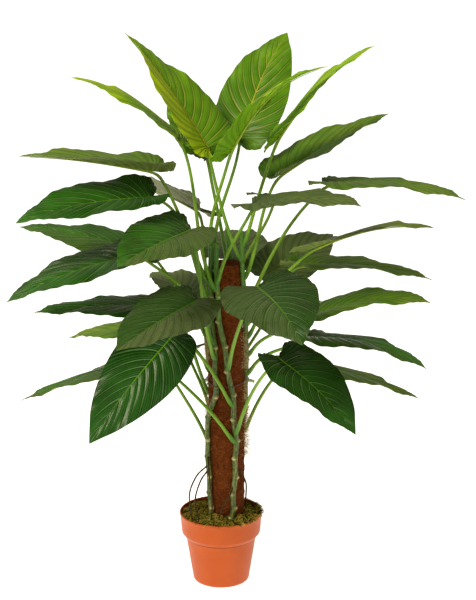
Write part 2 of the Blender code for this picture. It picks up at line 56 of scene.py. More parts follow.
def fillNode(node, settings):
    # a text key is an option of the node or a socket's name, a number is a socket's place; a
    # socket or a node (its first output in use) is linked, any other value is set
    for key, value in settings.items():
        if isinstance(value, bpy.types.Node):
            value = next(output for output in value.outputs if output.enabled)
        if key == "stops":
            ramp = node.color_ramp.elements
            while len(ramp) < len(value):
                ramp.new(0.5)
            for stop, (place, code) in zip(ramp, value):
                stop.position = place
                stop.color = toLinear(code) if isinstance(code, str) else (code, code, code, 1.0)
        elif key == "ranges":  # from min, from max, to min and to max of a map range
            for place, number in enumerate(value, 1):
                node.inputs[place].default_value = number
        elif isinstance(value, bpy.types.NodeSocket):
            node.id_data.links.new(value, node.inputs[key])
        elif isinstance(key, str) and hasattr(node, key):
            setattr(node, key, value)
        else:
            node.inputs[key].default_value = toLinear(value) if isinstance(value, str) else value
    return node


def addNode(tree, kind, settings):
    # a node of the tree with its settings and links
    return fillNode(tree.nodes.new("ShaderNode" + kind), settings)


def newMaterial(name, finish):
    # a material, addNode for its tree, its shader with the fixed sockets set, Object coordinates
    material = bpy.data.materials.new(name)
    material.use_nodes = True
    add = partial(addNode, material.node_tree)
    shader = fillNode(material.node_tree.nodes["Principled BSDF"], finish)
    return material, add, shader, add("TexCoord", {}).outputs["Object"]


def meshValues(add, label):
    # the three numbers that the piece's mesh carries under this label
    vector = add("Attribute", {"attribute_name": label}).outputs["Vector"]
    return add("SeparateXYZ", {0: vector}).outputs


def mottledMaterial(name, finish, noise, stops, relief=None):
    # one noise of the place gives the colour, through a ramp, and the relief if there is one
    material, add, shader, where = newMaterial(name, finish)
    spots = add("TexNoise", {"Vector": where, **noise})
    fillNode(shader, {"Base Color": add("ValToRGB", {0: spots, "stops": stops})})
    if relief:
        fillNode(shader, {"Normal": add("Bump", {"Height": spots, **relief})})
    return material


def addObject(name, data):
    made = bpy.data.objects.new(name, data)
    bpy.context.scene.collection.objects.link(made)
    return made


def unit(vectors):
    # each vector over its own length
    return vectors / np.linalg.norm(vectors, axis=-1, keepdims=True)


def rising(values, span):
    # 0 up to zero, 1 from the span on, straight between
    return np.clip(values / span, 0, 1)


def around(count):
    # so many angles, evenly round
    return fullTurn * np.arange(count) / count


def polar(out, turn, level):
    # (out cos turn, out sin turn, level)
    return np.stack((out * np.cos(turn), out * np.sin(turn), level), -1)


def throughPoints(points, shares):
    # a smooth curve through the points (Catmull-Rom), read at shares of its way
    points = np.asarray(points, float)
    ends = np.vstack((2 * points[0] - points[1], points, 2 * points[-1] - points[-2]))
    place = np.clip(shares, 0, 1) * (len(points) - 1)
    k = np.minimum(place.astype(int), len(points) - 2)
    t = (place - k)[..., None]
    a, b, c, d = (ends[k + n] for n in range(4))
    return 0.5 * (2 * b + (c - a) * t + (2 * a - 5 * b + 4 * c - d) * t ** 2
                  + (3 * b - a - 3 * c + d) * t ** 3)


def ripples(points, size, seed, waves=18):
    # soft noise: the sum of plane waves of about one size, in seeded directions
    chance = np.random.default_rng(seed)
    ways = unit(chance.normal(size=(waves, 3))) * fullTurn / size
    ways = ways * chance.uniform(0.6, 1.5, (waves, 1))
    return np.cos(points @ ways.T + chance.uniform(0, fullTurn, waves)).sum(-1) / math.sqrt(waves)


def closedTubes(points):
    # points by tube, row and side become walls of quads, with a lid at both ends of each tube
    grid = np.arange(points[..., 0].size).reshape(points.shape[:3])
    after = np.roll(grid, -1, axis=2)
    walls = np.stack((grid[:, :-1], after[:, :-1], after[:, 1:], grid[:, 1:]), -1).reshape(-1, 4)
    lids = np.concatenate((grid[:, 0, ::-1], grid[:, -1]))
    return {"points": points.reshape(-1, 3), "faces": [walls, lids], "finish": 0}


def tubesAlong(paths, radii, sides, upper):
    # a round profile carried along each path: centre + radius (cos a side + sin a up), where
    # side = upper x direction and up = direction x side
    direction = unit(np.gradient(paths, axis=1))
    side = unit(np.cross(upper, direction))
    up = np.cross(direction, side)
    angle = around(sides)[:, None]
    ring = np.cos(angle) * side[:, :, None] + np.sin(angle) * up[:, :, None]
    radii = radii[..., None] if radii.ndim == 3 else radii[:, :, None, None]
    return closedTubes(paths[:, :, None] + radii * ring)


def strands(paths, thickness, upper, kind):
    # thin three-sided tubes, each with a finish of its own: the walls come first, then the lids
    made = tubesAlong(paths, thickness, 3, np.broadcast_to(upper, paths.shape))
    walls = np.repeat(kind, len(made["faces"][0]) // len(kind))
    return {**made, "finish": np.concatenate((walls, kind, kind))}


def turned(radii, heights, sides, axisX=0.0):
    # a profile turned about Z: (radius cos a, radius sin a, height); radii and heights may differ
    # from side to side
    radii, heights = (np.broadcast_to(v if v.ndim == 2 else v[:, None], (len(v), sides))
                      for v in (radii, heights))
    return closedTubes((polar(radii, around(sides), heights) + (axisX, 0, 0))[None])


def buildPiece(name, parts, materials, replaced, sharpAngle=40):
    # joins parts (points, faces, finish, place, flat) into one mesh; finish is the material's
    # number for the part or for each face, place and flat are read by the materials
    starts = np.cumsum([0] + [len(part["points"]) for part in parts])
    loops, sizes, finish = [], [], []
    for part, start in zip(parts, starts):
        loops += [(faces + start).ravel() for faces in part["faces"]]
        sizes += [np.full(len(faces), faces.shape[1]) for faces in part["faces"]]
        finish.append(np.broadcast_to(part["finish"], sum(len(faces) for faces in part["faces"])))
    loops, sizes, finish = (np.concatenate(v) for v in (loops, sizes, finish))
    mesh = bpy.data.meshes.new(name)
    mesh.vertices.add(int(starts[-1]))
    points = np.vstack([part["points"] for part in parts])
    mesh.vertices.foreach_set("co", points.astype(np.float32).ravel())
    mesh.loops.add(len(loops))
    mesh.loops.foreach_set("vertex_index", loops.astype(np.int32))
    mesh.polygons.add(len(sizes))
    mesh.polygons.foreach_set("loop_start", (np.cumsum(sizes) - sizes).astype(np.int32))
    mesh.polygons.foreach_set("material_index", finish.astype(np.int32))
    for label in ("place", "flat"):
        if any(label in part for part in parts):
            values = [part.get(label, np.zeros((len(part["points"]), 3))) for part in parts]
            layer = mesh.attributes.new(label, "FLOAT_VECTOR", "POINT")
            layer.data.foreach_set("vector", np.vstack(values).astype(np.float32).ravel())
    mesh.update(calc_edges=True)
    mesh.validate()
    mesh.shade_smooth()
    mesh.set_sharp_from_angle(angle=math.radians(sharpAngle))
    for material in materials:
        mesh.materials.append(material)
    piece = addObject(name, mesh)
    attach(piece, "root")
    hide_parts(*replaced)


studio = {
    "cameraPlace": (0.0358, -3.4, 1.565), "cameraTilt": 74.34, "lens": 104.04, "sensor": 36.0,
    # place, size and power of each soft lamp
    "lamps": {"keyLight": ((-2.0, -2.0, 3.1), 1.1, 104.0), "fillLight": ((2.6, -2.0, 1.6), 2.0, 12.0),
              "topLight": ((-1.3, 1.0, 3.2), 0.8, 12.0)},
    "aim": (0.0, 0.0, 0.6), "lampColour": "#FFF1D6", "skyColour": "#FFF3DC",
    # the sky's strength goes from the third number in front to the fourth behind the plant
    "skyRanges": (-0.6, 0.7, 0.34, 0.26), "floorHalf": 30.0, "floorGlow": 0.90,
}


def buildStudio():
    # camera, soft lamps that point at the aim, room light and floor
    lens = bpy.data.cameras.new("studioCamera")
    lens.lens, lens.sensor_width = studio["lens"], studio["sensor"]
    camera = addObject("studioCamera", lens)
    camera.location = studio["cameraPlace"]
    camera.rotation_euler = (math.radians(studio["cameraTilt"]), 0.0, 0.0)
    bpy.context.scene.camera = camera
    for name, (place, size, power) in studio["lamps"].items():
        lamp = bpy.data.lights.new(name, "AREA")
        lamp.size, lamp.energy, lamp.color = size, power, toLinear(studio["lampColour"])[:3]
        light = addObject(name, lamp)
        light.location = place
        towards = unit(np.subtract(studio["aim"], place))
        heading = math.atan2(towards[1], towards[0])
        light.rotation_euler = (math.acos(-towards[2]), 0.0, heading - math.pi / 2)
    # soft room light, a little stronger from the side of the camera than from behind the plant
    world = bpy.data.worlds.new("studioWorld")
    world.use_nodes = True
    add = partial(addNode, world.node_tree)
    way = add("TexCoord", {}).outputs["Generated"]
    depth = add("SeparateXYZ", {0: way}).outputs[1]
    sweep = add("MapRange", {0: depth, "ranges": studio["skyRanges"]})
    # the camera itself sees plain white behind the floor
    seen = add("LightPath", {}).outputs["Is Camera Ray"]
    power = add("Mix", {"data_type": "FLOAT", 0: seen, 2: sweep, 3: 1.0})
    hue = add("Mix", {"data_type": "RGBA", 0: seen, 6: studio["skyColour"], 7: "#FFFFFF"})
    fillNode(world.node_tree.nodes["Background"], {"Strength": power, "Color": hue})
    bpy.context.scene.world = world
    bpy.context.scene.view_settings.view_transform = "Standard"
    # painted studio floor, matt and nearly white
    material, add, shader, where = newMaterial("matt floor paint", {
        "Roughness": 0.9, "Specular IOR Level": 0.2, "Emission Color": "#FFFFFF",
        "Emission Strength": studio["floorGlow"]})
    grain = add("TexNoise", {"Vector": where, "Scale": 3.0})
    tint = add("Mix", {"data_type": "RGBA", 0: grain, 6: "#F7F7F7", 7: "#FAFAFA"})
    fillNode(shader, {"Base Color": tint})
    half = studio["floorHalf"]
    mesh = bpy.data.meshes.new("studioFloor")
    corners = [(-half, -half, 0), (half, -half, 0), (half, half, 0), (-half, half, 0)]
    mesh.from_pydata(corners, [], [(0, 1, 2, 3)])
    mesh.materials.append(material)
    addObject("studioFloor", mesh)


buildStudio()
print("studio: camera, three soft lights and the floor")

pole = {
    "x": 0.012, "bottom": 0.1285, "top": 0.690, "heights": (13, 30, 50, 60, 69),
    "radii": (3.55, 3.7, 3.6, 3.2, 2.8), "rows": 150, "sides": 100,
    # height and size of the mat's lumps and of its grain
    "lump": 0.9 * mm, "lumpSize": 16 * mm, "grain": 0.35 * mm, "grainSize": 4 * mm,
    # fibres lie level, give or take the slant, and lean to either side, in degrees; the bend is a
    # share of the length, the lift is how far their middle line is off the mat
    "fibres": 6700, "fibreLength": (10 * mm, 30 * mm), "fibreRadius": 0.24 * mm, "slant": 32,
    "lean": (-12, 14), "bend": 0.25, "clear": (4 * mm, 3 * mm), "lift": (-0.1, 0.25), "stray": 0.22,
    "fibreTaper": (0.6, 1.0, 1.0, 0.5), "fibreRange": (0.7, 1.25), "fibreShares": (0.36, 0.42, 0.22),
    # tufts of frayed matting: middle angle, lowest and highest z, number, longest fibre
    "tufts": ((180, 0.478, 0.540, 260, 15 * mm), (184, 0.356, 0.408, 220, 14 * mm),
              (176, 0.300, 0.330, 60, 9 * mm), (-4, 0.468, 0.546, 260, 15 * mm),
              (-2, 0.280, 0.384, 420, 19 * mm), (-6, 0.400, 0.440, 110, 11 * mm)),
    "tuftSpread": 16, "tuftRoot": 0.5 * mm, "tuftReach": (0.35, 1.0), "tuftSwing": 0.35,
    "tuftDrop": (-0.1, 0.6), "tuftCurve": 0.25, "tuftTaper": (1.0, 0.9, 0.8, 0.4),
    "tuftRange": (0.7, 1.1), "tuftUpper": (0.12, 0.3, 1.0), "tuftShares": (0.12, 0.88),
}
stems = {
    "radius": 5.5 * mm, "topRadius": 4.5 * mm, "taper": (0.60, 0.76), "gap": 0.3 * mm,
    "row": 0.030, "bottom": 0.1283, "rings": 12, "ringRise": 0.12, "ringWidth": 1.6 * mm,
    # a scar is wider than the ring by a factor and sits at an angle to either side of it
    "scarRise": 0.42, "scarWidth": 1.5, "scarAngle": 62, "scarTint": 1.4, "scarMost": 0.85,
    "zigzag": 1.9 * mm, "sides": 18, "step": 1.6 * mm, "tipLength": 6 * mm, "tipLeast": 0.02,
    "youngFrom": 0.50, "youngSpan": 0.22, "youngMost": 0.85,
    # height in cm and heading about the pole in degrees
    "routes": {
        "stem_front_left": ((13, 222), (20, 215), (28, 205), (34, 203), (38, 215), (42, 240),
                            (50, 238), (58, 222), (66, 205), (76, 200)),
        "stem_front_right": ((13, 285), (20, 290), (30, 298), (40, 290), (50, 270), (56, 254),
                             (62, 242), (74, 232)),
        "stem_right": ((13, 52), (22, 56), (30, 44), (38, 24), (50, 15), (58, 0), (64, -14), (76, -20)),
        "stem_back_left": ((13, 140), (30, 130), (50, 146), (76, 142)),
        "stem_back": ((13, 92), (30, 90), (50, 74), (76, 84)),
    },
    # the lowest node in cm; the next ones follow at these spacings, and the last spacing goes on
    "firstRing": {"stem_front_left": 14.7, "stem_front_right": 15.1, "stem_right": 16.0,
                  "stem_back_left": 15.4, "stem_back": 16.6},
    "spacings": (2.2, 3.2, 3.6, 4.2, 3.8, 4.8, 5.2),
}


def aboutPole(out, turn, level):
    # a point so far out from the pole's axis, in the direction turn, at the level
    return polar(out, turn, level) + (pole["x"], 0, 0)


def poleRadius(heights):
    # straight between the pole's listed heights
    return np.interp(np.asarray(heights) / cm, pole["heights"], pole["radii"]) * cm


def stemRadius(heights):
    # one radius below the taper, one above it, straight between
    return np.interp(heights, stems["taper"], (stems["radius"], stems["topRadius"]))


def stemCentre(stem, heights):
    # the stem lies against the pole, one gap clear of it
    heights = np.asarray(heights, float)
    levels, headings = np.transpose(stems["routes"][stem])
    heading = np.radians(np.interp(heights / cm, levels, headings))
    return aboutPole(poleRadius(heights) + stems["gap"] + stems["radius"], heading, heights)


def poleSurface(angles, heights):
    # the mat's outer face: pole radius + lumps + grain, both soft noise of the place
    radius = poleRadius(heights)
    where = polar(radius, angles, heights)
    lumps = pole["lump"] * ripples(where, pole["lumpSize"], 3)
    return radius + lumps + pole["grain"] * ripples(where, pole["grainSize"], 4)


def coirMaterial(name, dark, mid, pale):
    # coconut fibre pressed into a mat: dry, matt, reddish brown, no gloss at all
    material, add, shader, where = newMaterial(name, {"Roughness": 0.92, "Specular IOR Level": 0.1})
    # strands 0.3 mm thick lie mostly level: the noise is drawn out sideways, and at about 1 mm
    # so that it shows
    stretch = add("Mapping", {"Vector": where, "Scale": (0.35, 0.35, 1.0)})
    fibre = add("TexNoise", {"Vector": stretch, "Scale": 900.0, "Detail": 4.0, "Roughness": 0.65})
    shade = add("ValToRGB", {0: fibre, "stops": ((0.30, dark), (0.52, mid), (0.74, pale))})
    clumps = add("TexNoise", {"Vector": where, "Scale": 70.0, "Detail": 3.0})
    patch = add("ValToRGB", {0: clumps, "stops": ((0.32, 0.74), (0.68, 1.0))})
    fillNode(shader, {
        "Base Color": add("Mix", {"data_type": "RGBA", "blend_type": "MULTIPLY",
                                  0: 0.8, 6: shade, 7: patch}),
        "Normal": add("Bump", {"Height": fibre, "Strength": 0.8, "Distance": 1.2 * mm})})
    return material


def buildPole():
    # the mat: radius(angle, z) = pole surface; over it short bent fibres that lie on the mat:
    # level + length along sin(slant) + bend (4 along^2 - 0.5), turned by length along cos(slant)
    chance = np.random.default_rng(11)
    heights = np.linspace(pole["bottom"], pole["top"], pole["rows"])
    angle, height = np.meshgrid(around(pole["sides"]), heights)
    parts = [turned(poleSurface(angle, height), height, pole["sides"], pole["x"])]
    count = pole["fibres"]
    along = np.linspace(-0.5, 0.5, len(pole["fibreTaper"]))
    length = chance.uniform(*pole["fibreLength"], (count, 1))
    slant = chance.normal(0, pole["slant"], (count, 1)) + chance.choice(pole["lean"], (count, 1))
    slant = np.radians(slant)
    bend = chance.uniform(-pole["bend"], pole["bend"], (count, 1)) * length
    below, above = pole["clear"]
    level = chance.uniform(pole["bottom"] + below, pole["top"] - above, (count, 1))
    level = level + length * along * np.sin(slant) + bend * (along ** 2 * 4 - 0.5)
    level = np.clip(level, pole["bottom"], pole["top"])
    turn = chance.uniform(0, fullTurn, (count, 1)) + length * along * np.cos(slant) / poleRadius(level)
    lift = chance.uniform(*pole["lift"], (count, 1)) * mm
    lift = lift + np.abs(chance.normal(0, pole["stray"], turn.shape)) * mm
    paths = aboutPole(poleSurface(turn, level) + lift, turn, level)
    thickness = pole["fibreRadius"] * chance.uniform(*pole["fibreRange"], (count, 1)) * pole["fibreTaper"]
    kind = chance.choice((1, 2, 3), count, p=pole["fibreShares"])
    parts.append(strands(paths, thickness, polar(1, turn, 0 * turn), kind))
    for middle, low, high, number, longest in pole["tufts"]:
        # a tuft: fibres leave the mat outwards, fall to either side and end in the air
        turn = np.radians(chance.normal(middle, pole["tuftSpread"], (number, 1)))
        level = chance.uniform(low, high, (number, 1))
        reach = chance.uniform(*pole["tuftReach"], (number, 1)) * longest
        reach = reach * np.linspace(0, 1, len(pole["tuftTaper"]))
        swing = chance.normal(0, pole["tuftSwing"], (number, 1)) * reach
        rise = chance.normal(*pole["tuftDrop"], (number, 1)) * reach
        rise += chance.normal(0, pole["tuftCurve"], (number, 1)) * reach ** 2 / longest
        out = poleRadius(level) - pole["tuftRoot"] + reach
        paths = aboutPole(out, turn + swing / out, level + rise)
        thickness = chance.uniform(*pole["tuftRange"], (number, 1)) * pole["fibreRadius"] * pole["tuftTaper"]
        kind = chance.choice((3, 4), number, p=pole["tuftShares"])
        parts.append(strands(paths, thickness, pole["tuftUpper"], kind))
    buildPiece("coirPole", parts, [
        coirMaterial("coir mat", "#32160A", "#66300E", "#8C4E1C"),
        coirMaterial("coir fibre dark", "#3A1804", "#582608", "#70340C"),
        coirMaterial("coir fibre", "#5A2A0A", "#783C10", "#90501A"),
        coirMaterial("coir fibre pale", "#7C4218", "#9C622C", "#B27C44"),
        coirMaterial("coir fibre frayed", "#B09A66", "#CDBB86", "#E0D2A4")], ["coir_pole"])


def stemMaterial():
    # moulded polyethylene over wire, painted: satin, mottled green with grey-tan streaks and
    # cream scars where old petioles sat
    material, add, shader, where = newMaterial("painted polyethylene stem", {
        "Roughness": 0.5, "IOR": 1.5, "Specular IOR Level": 0.35})
    scar, _, young = meshValues(add, "place")
    blotch = add("TexNoise", {"Vector": where, "Scale": 210.0, "Detail": 5.0, "Roughness": 0.6})
    colour = add("ValToRGB", {0: blotch, "stops": (
        (0.30, "#22360C"), (0.50, "#42581C"), (0.70, "#747E40"))})
    # the streaks are drawn out along the stem, 2 mm wide and some 15 mm long
    stretch = add("Mapping", {"Vector": where, "Scale": (1.0, 1.0, 0.14)})
    streaks = add("TexNoise", {"Vector": stretch, "Scale": 300.0, "Detail": 3.0})
    streaked = add("MapRange", {0: streaks, "ranges": (0.52, 0.70, 0.0, 0.75)})
    for share, code in ((streaked, "#948C4E"), (young, "#44781A"), (scar, "#C2B47A")):
        colour = add("Mix", {"data_type": "RGBA", 0: share, 6: colour, 7: code})
    bump = add("Bump", {"Height": streaks, "Strength": 0.6, "Distance": 0.6 * mm})
    fillNode(shader, {"Base Color": colour, "Normal": bump})
    return material


def buildStems():
    # radius(angle, z) = stem radius (1 + ring rise at each node + scar rise on one side of it);
    # the path swings left and right from node to node, and the top is rounded off
    material = stemMaterial()
    spacing = list(stems["spacings"]) + [stems["spacings"][-1]] * stems["rings"]
    for name, route in stems["routes"].items():
        top = route[-1][0] * cm
        rise = top - stems["bottom"]
        rows = max(2, round(rise / stems["row"]))
        joints = stemCentre(name, np.linspace(stems["bottom"], top, rows + 1))
        path = throughPoints(joints, np.linspace(0, 1, int(rise / stems["step"])))
        height = path[:, 2]
        rings = (stems["firstRing"][name] + np.cumsum([0] + spacing)) * cm
        turnSide = np.where(np.arange(len(rings)) % 2, 1.0, -1.0)
        outward = np.arctan2(path[:, 1], path[:, 0] - pole["x"])
        swing = np.interp(height, rings, turnSide) * stems["zigzag"]
        path[:, 0] -= np.sin(outward) * swing
        path[:, 1] += np.cos(outward) * swing
        nearest = np.abs(height[:, None] - rings).argmin(1)
        off = (height - rings[nearest])[:, None] / stems["ringWidth"]
        faces = outward + np.radians(stems["scarAngle"]) * turnSide[nearest]
        facing = np.clip(np.cos(around(stems["sides"]) - faces[:, None]), 0, 1) ** 3
        scar = np.exp(-(off / stems["scarWidth"]) ** 2) * facing
        short = 1 - rising(top - height, stems["tipLength"])
        tip = np.sqrt(np.clip(1 - short ** 2, stems["tipLeast"], 1))
        radii = (stemRadius(height) * tip)[:, None] * (
            1 + stems["ringRise"] * np.exp(-off ** 2) + stems["scarRise"] * scar)
        part = tubesAlong(path[None], radii[None], stems["sides"], np.array((0.0, 1.0, 0.0)))
        # for the material: how much of a scar, nothing, how young
        young = np.clip((height - stems["youngFrom"]) / stems["youngSpan"], 0, stems["youngMost"])
        young = np.broadcast_to(young[:, None], scar.shape)
        scar = np.clip(scar * stems["scarTint"], 0, stems["scarMost"]) * (1 - young)
        part["place"] = np.stack((scar, np.zeros_like(scar), young), -1).reshape(-1, 3)
        buildPiece(name.replace("stem", "climbingStem"), [part], [material], [name])


buildPole()
buildStems()
print("pole and stems: coir mat with fibres, five ringed stems")

# One row for each leaf, whose names are short for leaf_01 and stem_right.  The petiole grows from
# `stem` at height `node`.  The blade's base lies `reach` from the pole's axis in the direction
# `azimuth`, at `height`; the line from base to tip points along `heading` at the slope `pitch`.
# `droop` is the bend of the blade from base to tip, `roll` its turn about the midrib, `twist` the
# change of that turn up to the tip and `fold` the lift of each half.  The petiole leaves its stem
# at the slope `rise` and meets the blade at the slope `arrive`.  `width` scales the blade sideways.
# Lengths in cm, angles in degrees.
leafColumns = ("name", "stem", "node", "azimuth", "reach", "height", "heading", "pitch",
               "droop", "roll", "twist", "fold", "rise", "arrive", "length", "width")
leaves = (
    ("01", "right", 70, 185, 3.6, 92.7, 150, 48, 15, -18, 38, 18, 68, 75, 29, 0.96),
    ("02", "back_left", 71, 70, 8, 93, 62, 42, 28, 12, 0, 6, 75, 80, 29, 0.95),
    ("03", "front_left", 73, 275, 8, 93, 340, 42, 50, 0, 0, 10, 60, 75, 27.5, 1),
    ("04", "right", 73, 340, 10.5, 94.7, 345, 45, 30, 8, 0, 6, 75, 70, 27.5, 1),
    ("05", "front_right", 64, 165, 9, 93.5, 187, 31, 35, -1, 0, 2, 68, 70, 26, 1),
    ("06", "front_left", 65, 185, 13.5, 88, 200, 10, 10, 3, 0, 18, 68, 60, 28.5, 1),
    ("07", "front_left", 61, 195, 15.5, 83.5, 210, -4, 18, -13, 0, 12, 68, 10, 29, 1),
    ("08", "back_left", 60, 125, 9.5, 78, 120, 0, 10, 35, 0, 12, 68, 55, 28, 1),
    ("09", "back_left", 52, 170, 15, 70, 172, 10, 15, -6, 0, 4, 68, 55, 28.5, 1),
    ("10", "front_left", 53, 225, 10, 77.5, 243, -2, 8, -16, 0, 10, 68, 50, 28, 1),
    ("11", "front_left", 57, 200, 18.5, 72.5, 210, -12, 18, -3, 0, 8, 68, 40, 29, 1),
    ("12", "back_left", 40, 180, 12, 60, 205, 4, 10, -1, 0, 3, 68, 45, 28.5, 1),
    ("13", "front_left", 50, 236, 10.5, 63.5, 239, -6, 8, -12, 0, 6, 68, 50, 28, 1),
    ("14", "back_left", 47.2, 120, 11, 58.5, 115, 0, 15, 0, 0, 15, 68, 45, 25.5, 1),
    ("15", "back_left", 45.2, 145, 13, 53, 150, -13, 15, -5, 0, 10, 68, 45, 28.5, 1),
    ("16", "front_right", 32, 186, 15, 49.5, 190, -16, 12, 10, 0, 2, 60, 45, 28.5, 1),
    ("17", "front_right", 40, 210, 12.5, 55.4, 218, -42, 12, -50, 0, 8, 60, 20, 27.5, 1),
    ("18", "right", 66, 20, 11, 86, 20, 25, 10, 0, 0, 18, 68, 55, 27, 1),
    ("19", "right", 60, 5, 20.5, 85, 333, -1, 28, -4, 0, 2, 68, 40, 29.5, 1),
    ("20", "front_right", 66, 303, 10, 82.8, 318, 8, 22, 4, 0, 6, 68, 60, 27, 1),
    ("21", "right", 56, 342, 17.5, 73, 330, 16, 30, -4, 0, 6, 68, 45, 28, 1),
    ("22", "right", 53, 14, 14.7, 67.6, 343, -2, 22, -5, 0, 8, 68, 50, 28.5, 1),
    ("23", "back", 50, 50, 11.5, 64, 55, 7, 10, 18, 0, 6, 68, 45, 28, 1),
    ("24", "back", 58, 75, 9.5, 67, 96, 0, 10, -8, 0, 12, 68, 55, 28, 1),
    ("25", "front_right", 48, 290, 18.5, 68.5, 283, -3, 20, 14, 0, 5, 68, 30, 33, 1),
    ("26", "right", 49, 355, 16, 57.5, 335, 14, 35, 5, 0, 8, 68, 40, 28, 1),
    ("27", "right", 45, 345, 16.5, 54.5, 330, -5, 38, -8, 0, 2, 68, 40, 27.5, 1),
    ("28", "right", 32, 20, 14.5, 46.8, 335, -9, 15, -12, 0, 2, 68, 40, 28.5, 1),
    ("29", "front_right", 34, 304, 19, 53.5, 299, -14, 20, 10, 0, 16, 68, 30, 28.5, 0.86),
    ("30", "back", 66, 117, 8.5, 89.5, 118, 30, 15, 0, 0, 8, 74, 70, 20, 1),
    ("31", "back", 62, 45, 14, 80, 75, -12, 10, 0, 0, 5, 68, 45, 27, 1),
    ("32", "back", 41, 50, 15, 57, 65, -14, 12, 0, 0, 8, 68, 40, 26, 1),
    ("33", "back_left", 36, 130, 13, 47, 115, -20, 12, 0, 0, 8, 68, 40, 27, 1),
    ("34", "back_left", 28, 165, 13, 46, 125, -16, 12, 0, 0, 8, 68, 40, 24, 1),
    ("35", "back", 30, 90, 8, 40, 88, -15, 12, 0, 0, 8, 60, 50, 22, 1),
)
blade = {
    # half of a flat blade, as shares of its length: along the midrib, out from it
    "outline": ((-0.025, 0.004), (-0.065, 0.05), (-0.085, 0.115), (-0.045, 0.195), (0.09, 0.252),
                (0.33, 0.262), (0.58, 0.212), (0.78, 0.135), (0.91, 0.058), (1.00, 0.002)),
    # the rows that fan out from the base, and how each row bows
    "fanRows": 1 / 3, "fanFoot": 0.012, "bowOn": 0.3, "bowOut": 0.6,
    "rows": 144, "columns": 22, "thickness": 0.9 * mm, "foldAtBase": 1.2, "foldLoss": 0.5,
    "lobeRise": 14, "lobeFrom": 0.22, "lobeSpan": 0.34, "curl": 0.35, "axisSteps": 40,
    "droopStart": 0.4, "droopPower": 1.5, "slopeStep": 0.002,
    # swells between the side veins fade towards the midrib, the base and the tip
    "veins": 20, "quilt": 2.1 * mm, "quiltPower": 0.8, "quiltFade": (0.2, 0.06, 0.1),
    "uneven": 0.005, "unevenWaves": (27, 52), "secondUneven": 0.7,
    "groove": 0.9 * mm, "ribWidth": 0.011, "ribStart": 0.05,
    # the margin's waves fade towards the base and the tip; the second wave is a share as high
    # and so many times as short
    "wave": 3.6 * mm, "waves": 3.2, "waveSkew": 1.2, "waveSides": 1.1, "secondWave": (0.45, 2.3),
    "waveFade": (0.15, 0.25), "scallop": 0.9 * mm, "rimPower": 8, "rimLeast": 0.35,
    # the painted light on a half of a leaf fades in over the first share of the way out from the midrib
    "paintedLightFade": 0.12, "tone": 0.12, "sharpAngle": 50,
}
petiole = {
    "radius": 3.9 * mm, "endRadius": 2.9 * mm, "sides": 12, "steps": 26, "towardsLeaf": 1.6,
    # depth and width of the foot in the stem, and how far off the stem the curve starts
    "footDepth": 0.4, "footWidth": 1.1, "clear": 1.2 * mm, "endDrop": 0.8,
    "leaveShare": 0.4, "arriveShare": 0.35,  # how long the curve keeps its first and last slope
    "bulge": 0.35, "bulgeSpan": 0.07, "knuckle": 0.18, "knucklePlace": 0.97, "knuckleSpan": 0.035,
    "ridgeSteps": 22, "ridgeStart": 0.025, "ridgeEnd": 0.93, "ridgeLoss": 0.84, "ridgePower": 0.7,
    "smoothings": 4,
}
# the kinds of leaves that aren't mature ones
leafKinds = {
    "young": {"01", "02", "30"},
    "lime": {"03", "04", "05"},
    "olive": {"06", "15", "18", "19", "21", "22", "26", "28"},
    # these leaves are coloured grey all over: painted sheen, the grey of light glancing off their faces
    "sheenGrey": {"08", "14", "20", "23", "24"},
    "deep": {"13", "17", "25", "29"},
}
# how far each half (left, right of the midrib) takes the paler tint of its kind: painted light, the sheen of
# light glancing off that half, and on leaf 01 the yellow of light shining through it
halfPaintedLight = {"01": (1.0, 0.05), "06": (0.5, 0.3), "09": (0.4, 0.1), "10": (0.7, 0.1),
             "13": (1.0, 0.3), "16": (0.5, 0.2), "19": (0.1, 0.2), "21": (0.9, 1.0),
             "25": (0.1, 0.5), "27": (0.1, 0.3)}


def bladeFlat(row, column):
    # each row follows a side vein: from its start on the midrib it bows forwards and out to the
    # margin, a quadratic curve in |column|; the first third of the rows fan out from the base
    fan = blade["fanRows"]
    edge = throughPoints(blade["outline"], row)
    start = np.where(row < fan, -blade["fanFoot"] * (1 - row / fan),
                     (np.maximum(row - fan, 0) / (1 - fan)) ** 2)
    t = np.abs(column)
    bowed = start + blade["bowOn"] * (edge[..., 0] - start)
    x = start * (1 - t) ** 2 + 2 * t * (1 - t) * bowed + edge[..., 0] * t * t
    y = 2 * t * (1 - t) * blade["bowOut"] * edge[..., 1] + edge[..., 1] * t * t
    return x, np.copysign(y, column)


def leafBase(leaf):
    # where the petiole meets the blade
    return aboutPole(leaf["reach"] * cm, math.radians(leaf["azimuth"]), leaf["height"] * cm)


def bladeAxis(leaf):
    # the midrib: slope(x) = pitch + 0.4 droop - droop x^1.5, summed up in short steps
    shares = np.linspace(0, 1, blade["axisSteps"] + 1)
    bend = blade["droopStart"] * leaf["droop"] - leaf["droop"] * shares ** blade["droopPower"]
    slope = np.radians(leaf["pitch"] + bend)
    heading = math.radians(leaf["heading"])
    along = polar(np.cos(slope), heading, np.sin(slope))
    steps = (along[1:] + along[:-1]) / 2 * leaf["length"] * cm / blade["axisSteps"]
    return shares, along, leafBase(leaf) + np.vstack((np.zeros(3), np.cumsum(steps, 0)))


def bladeFrame(leaf, axis, x):
    # midrib point, left side and upper side at shares x of the length
    shares, along, line = axis
    inner = np.clip(x, 0, 1)
    tangent, point = (np.stack([np.interp(inner, shares, v[:, k]) for k in range(3)], -1)
                      for v in (along, line))
    tangent = unit(tangent)
    heading = math.radians(leaf["heading"])
    left = np.array((-math.sin(heading), math.cos(heading), 0.0))
    upper = np.cross(tangent, left)
    roll = np.radians(leaf["roll"] + leaf["twist"] * inner)[..., None]
    across = left * np.cos(roll) + upper * np.sin(roll)
    upper = upper * np.cos(roll) - left * np.sin(roll)
    return point + tangent * ((x - inner) * leaf["length"] * cm)[..., None], across, upper


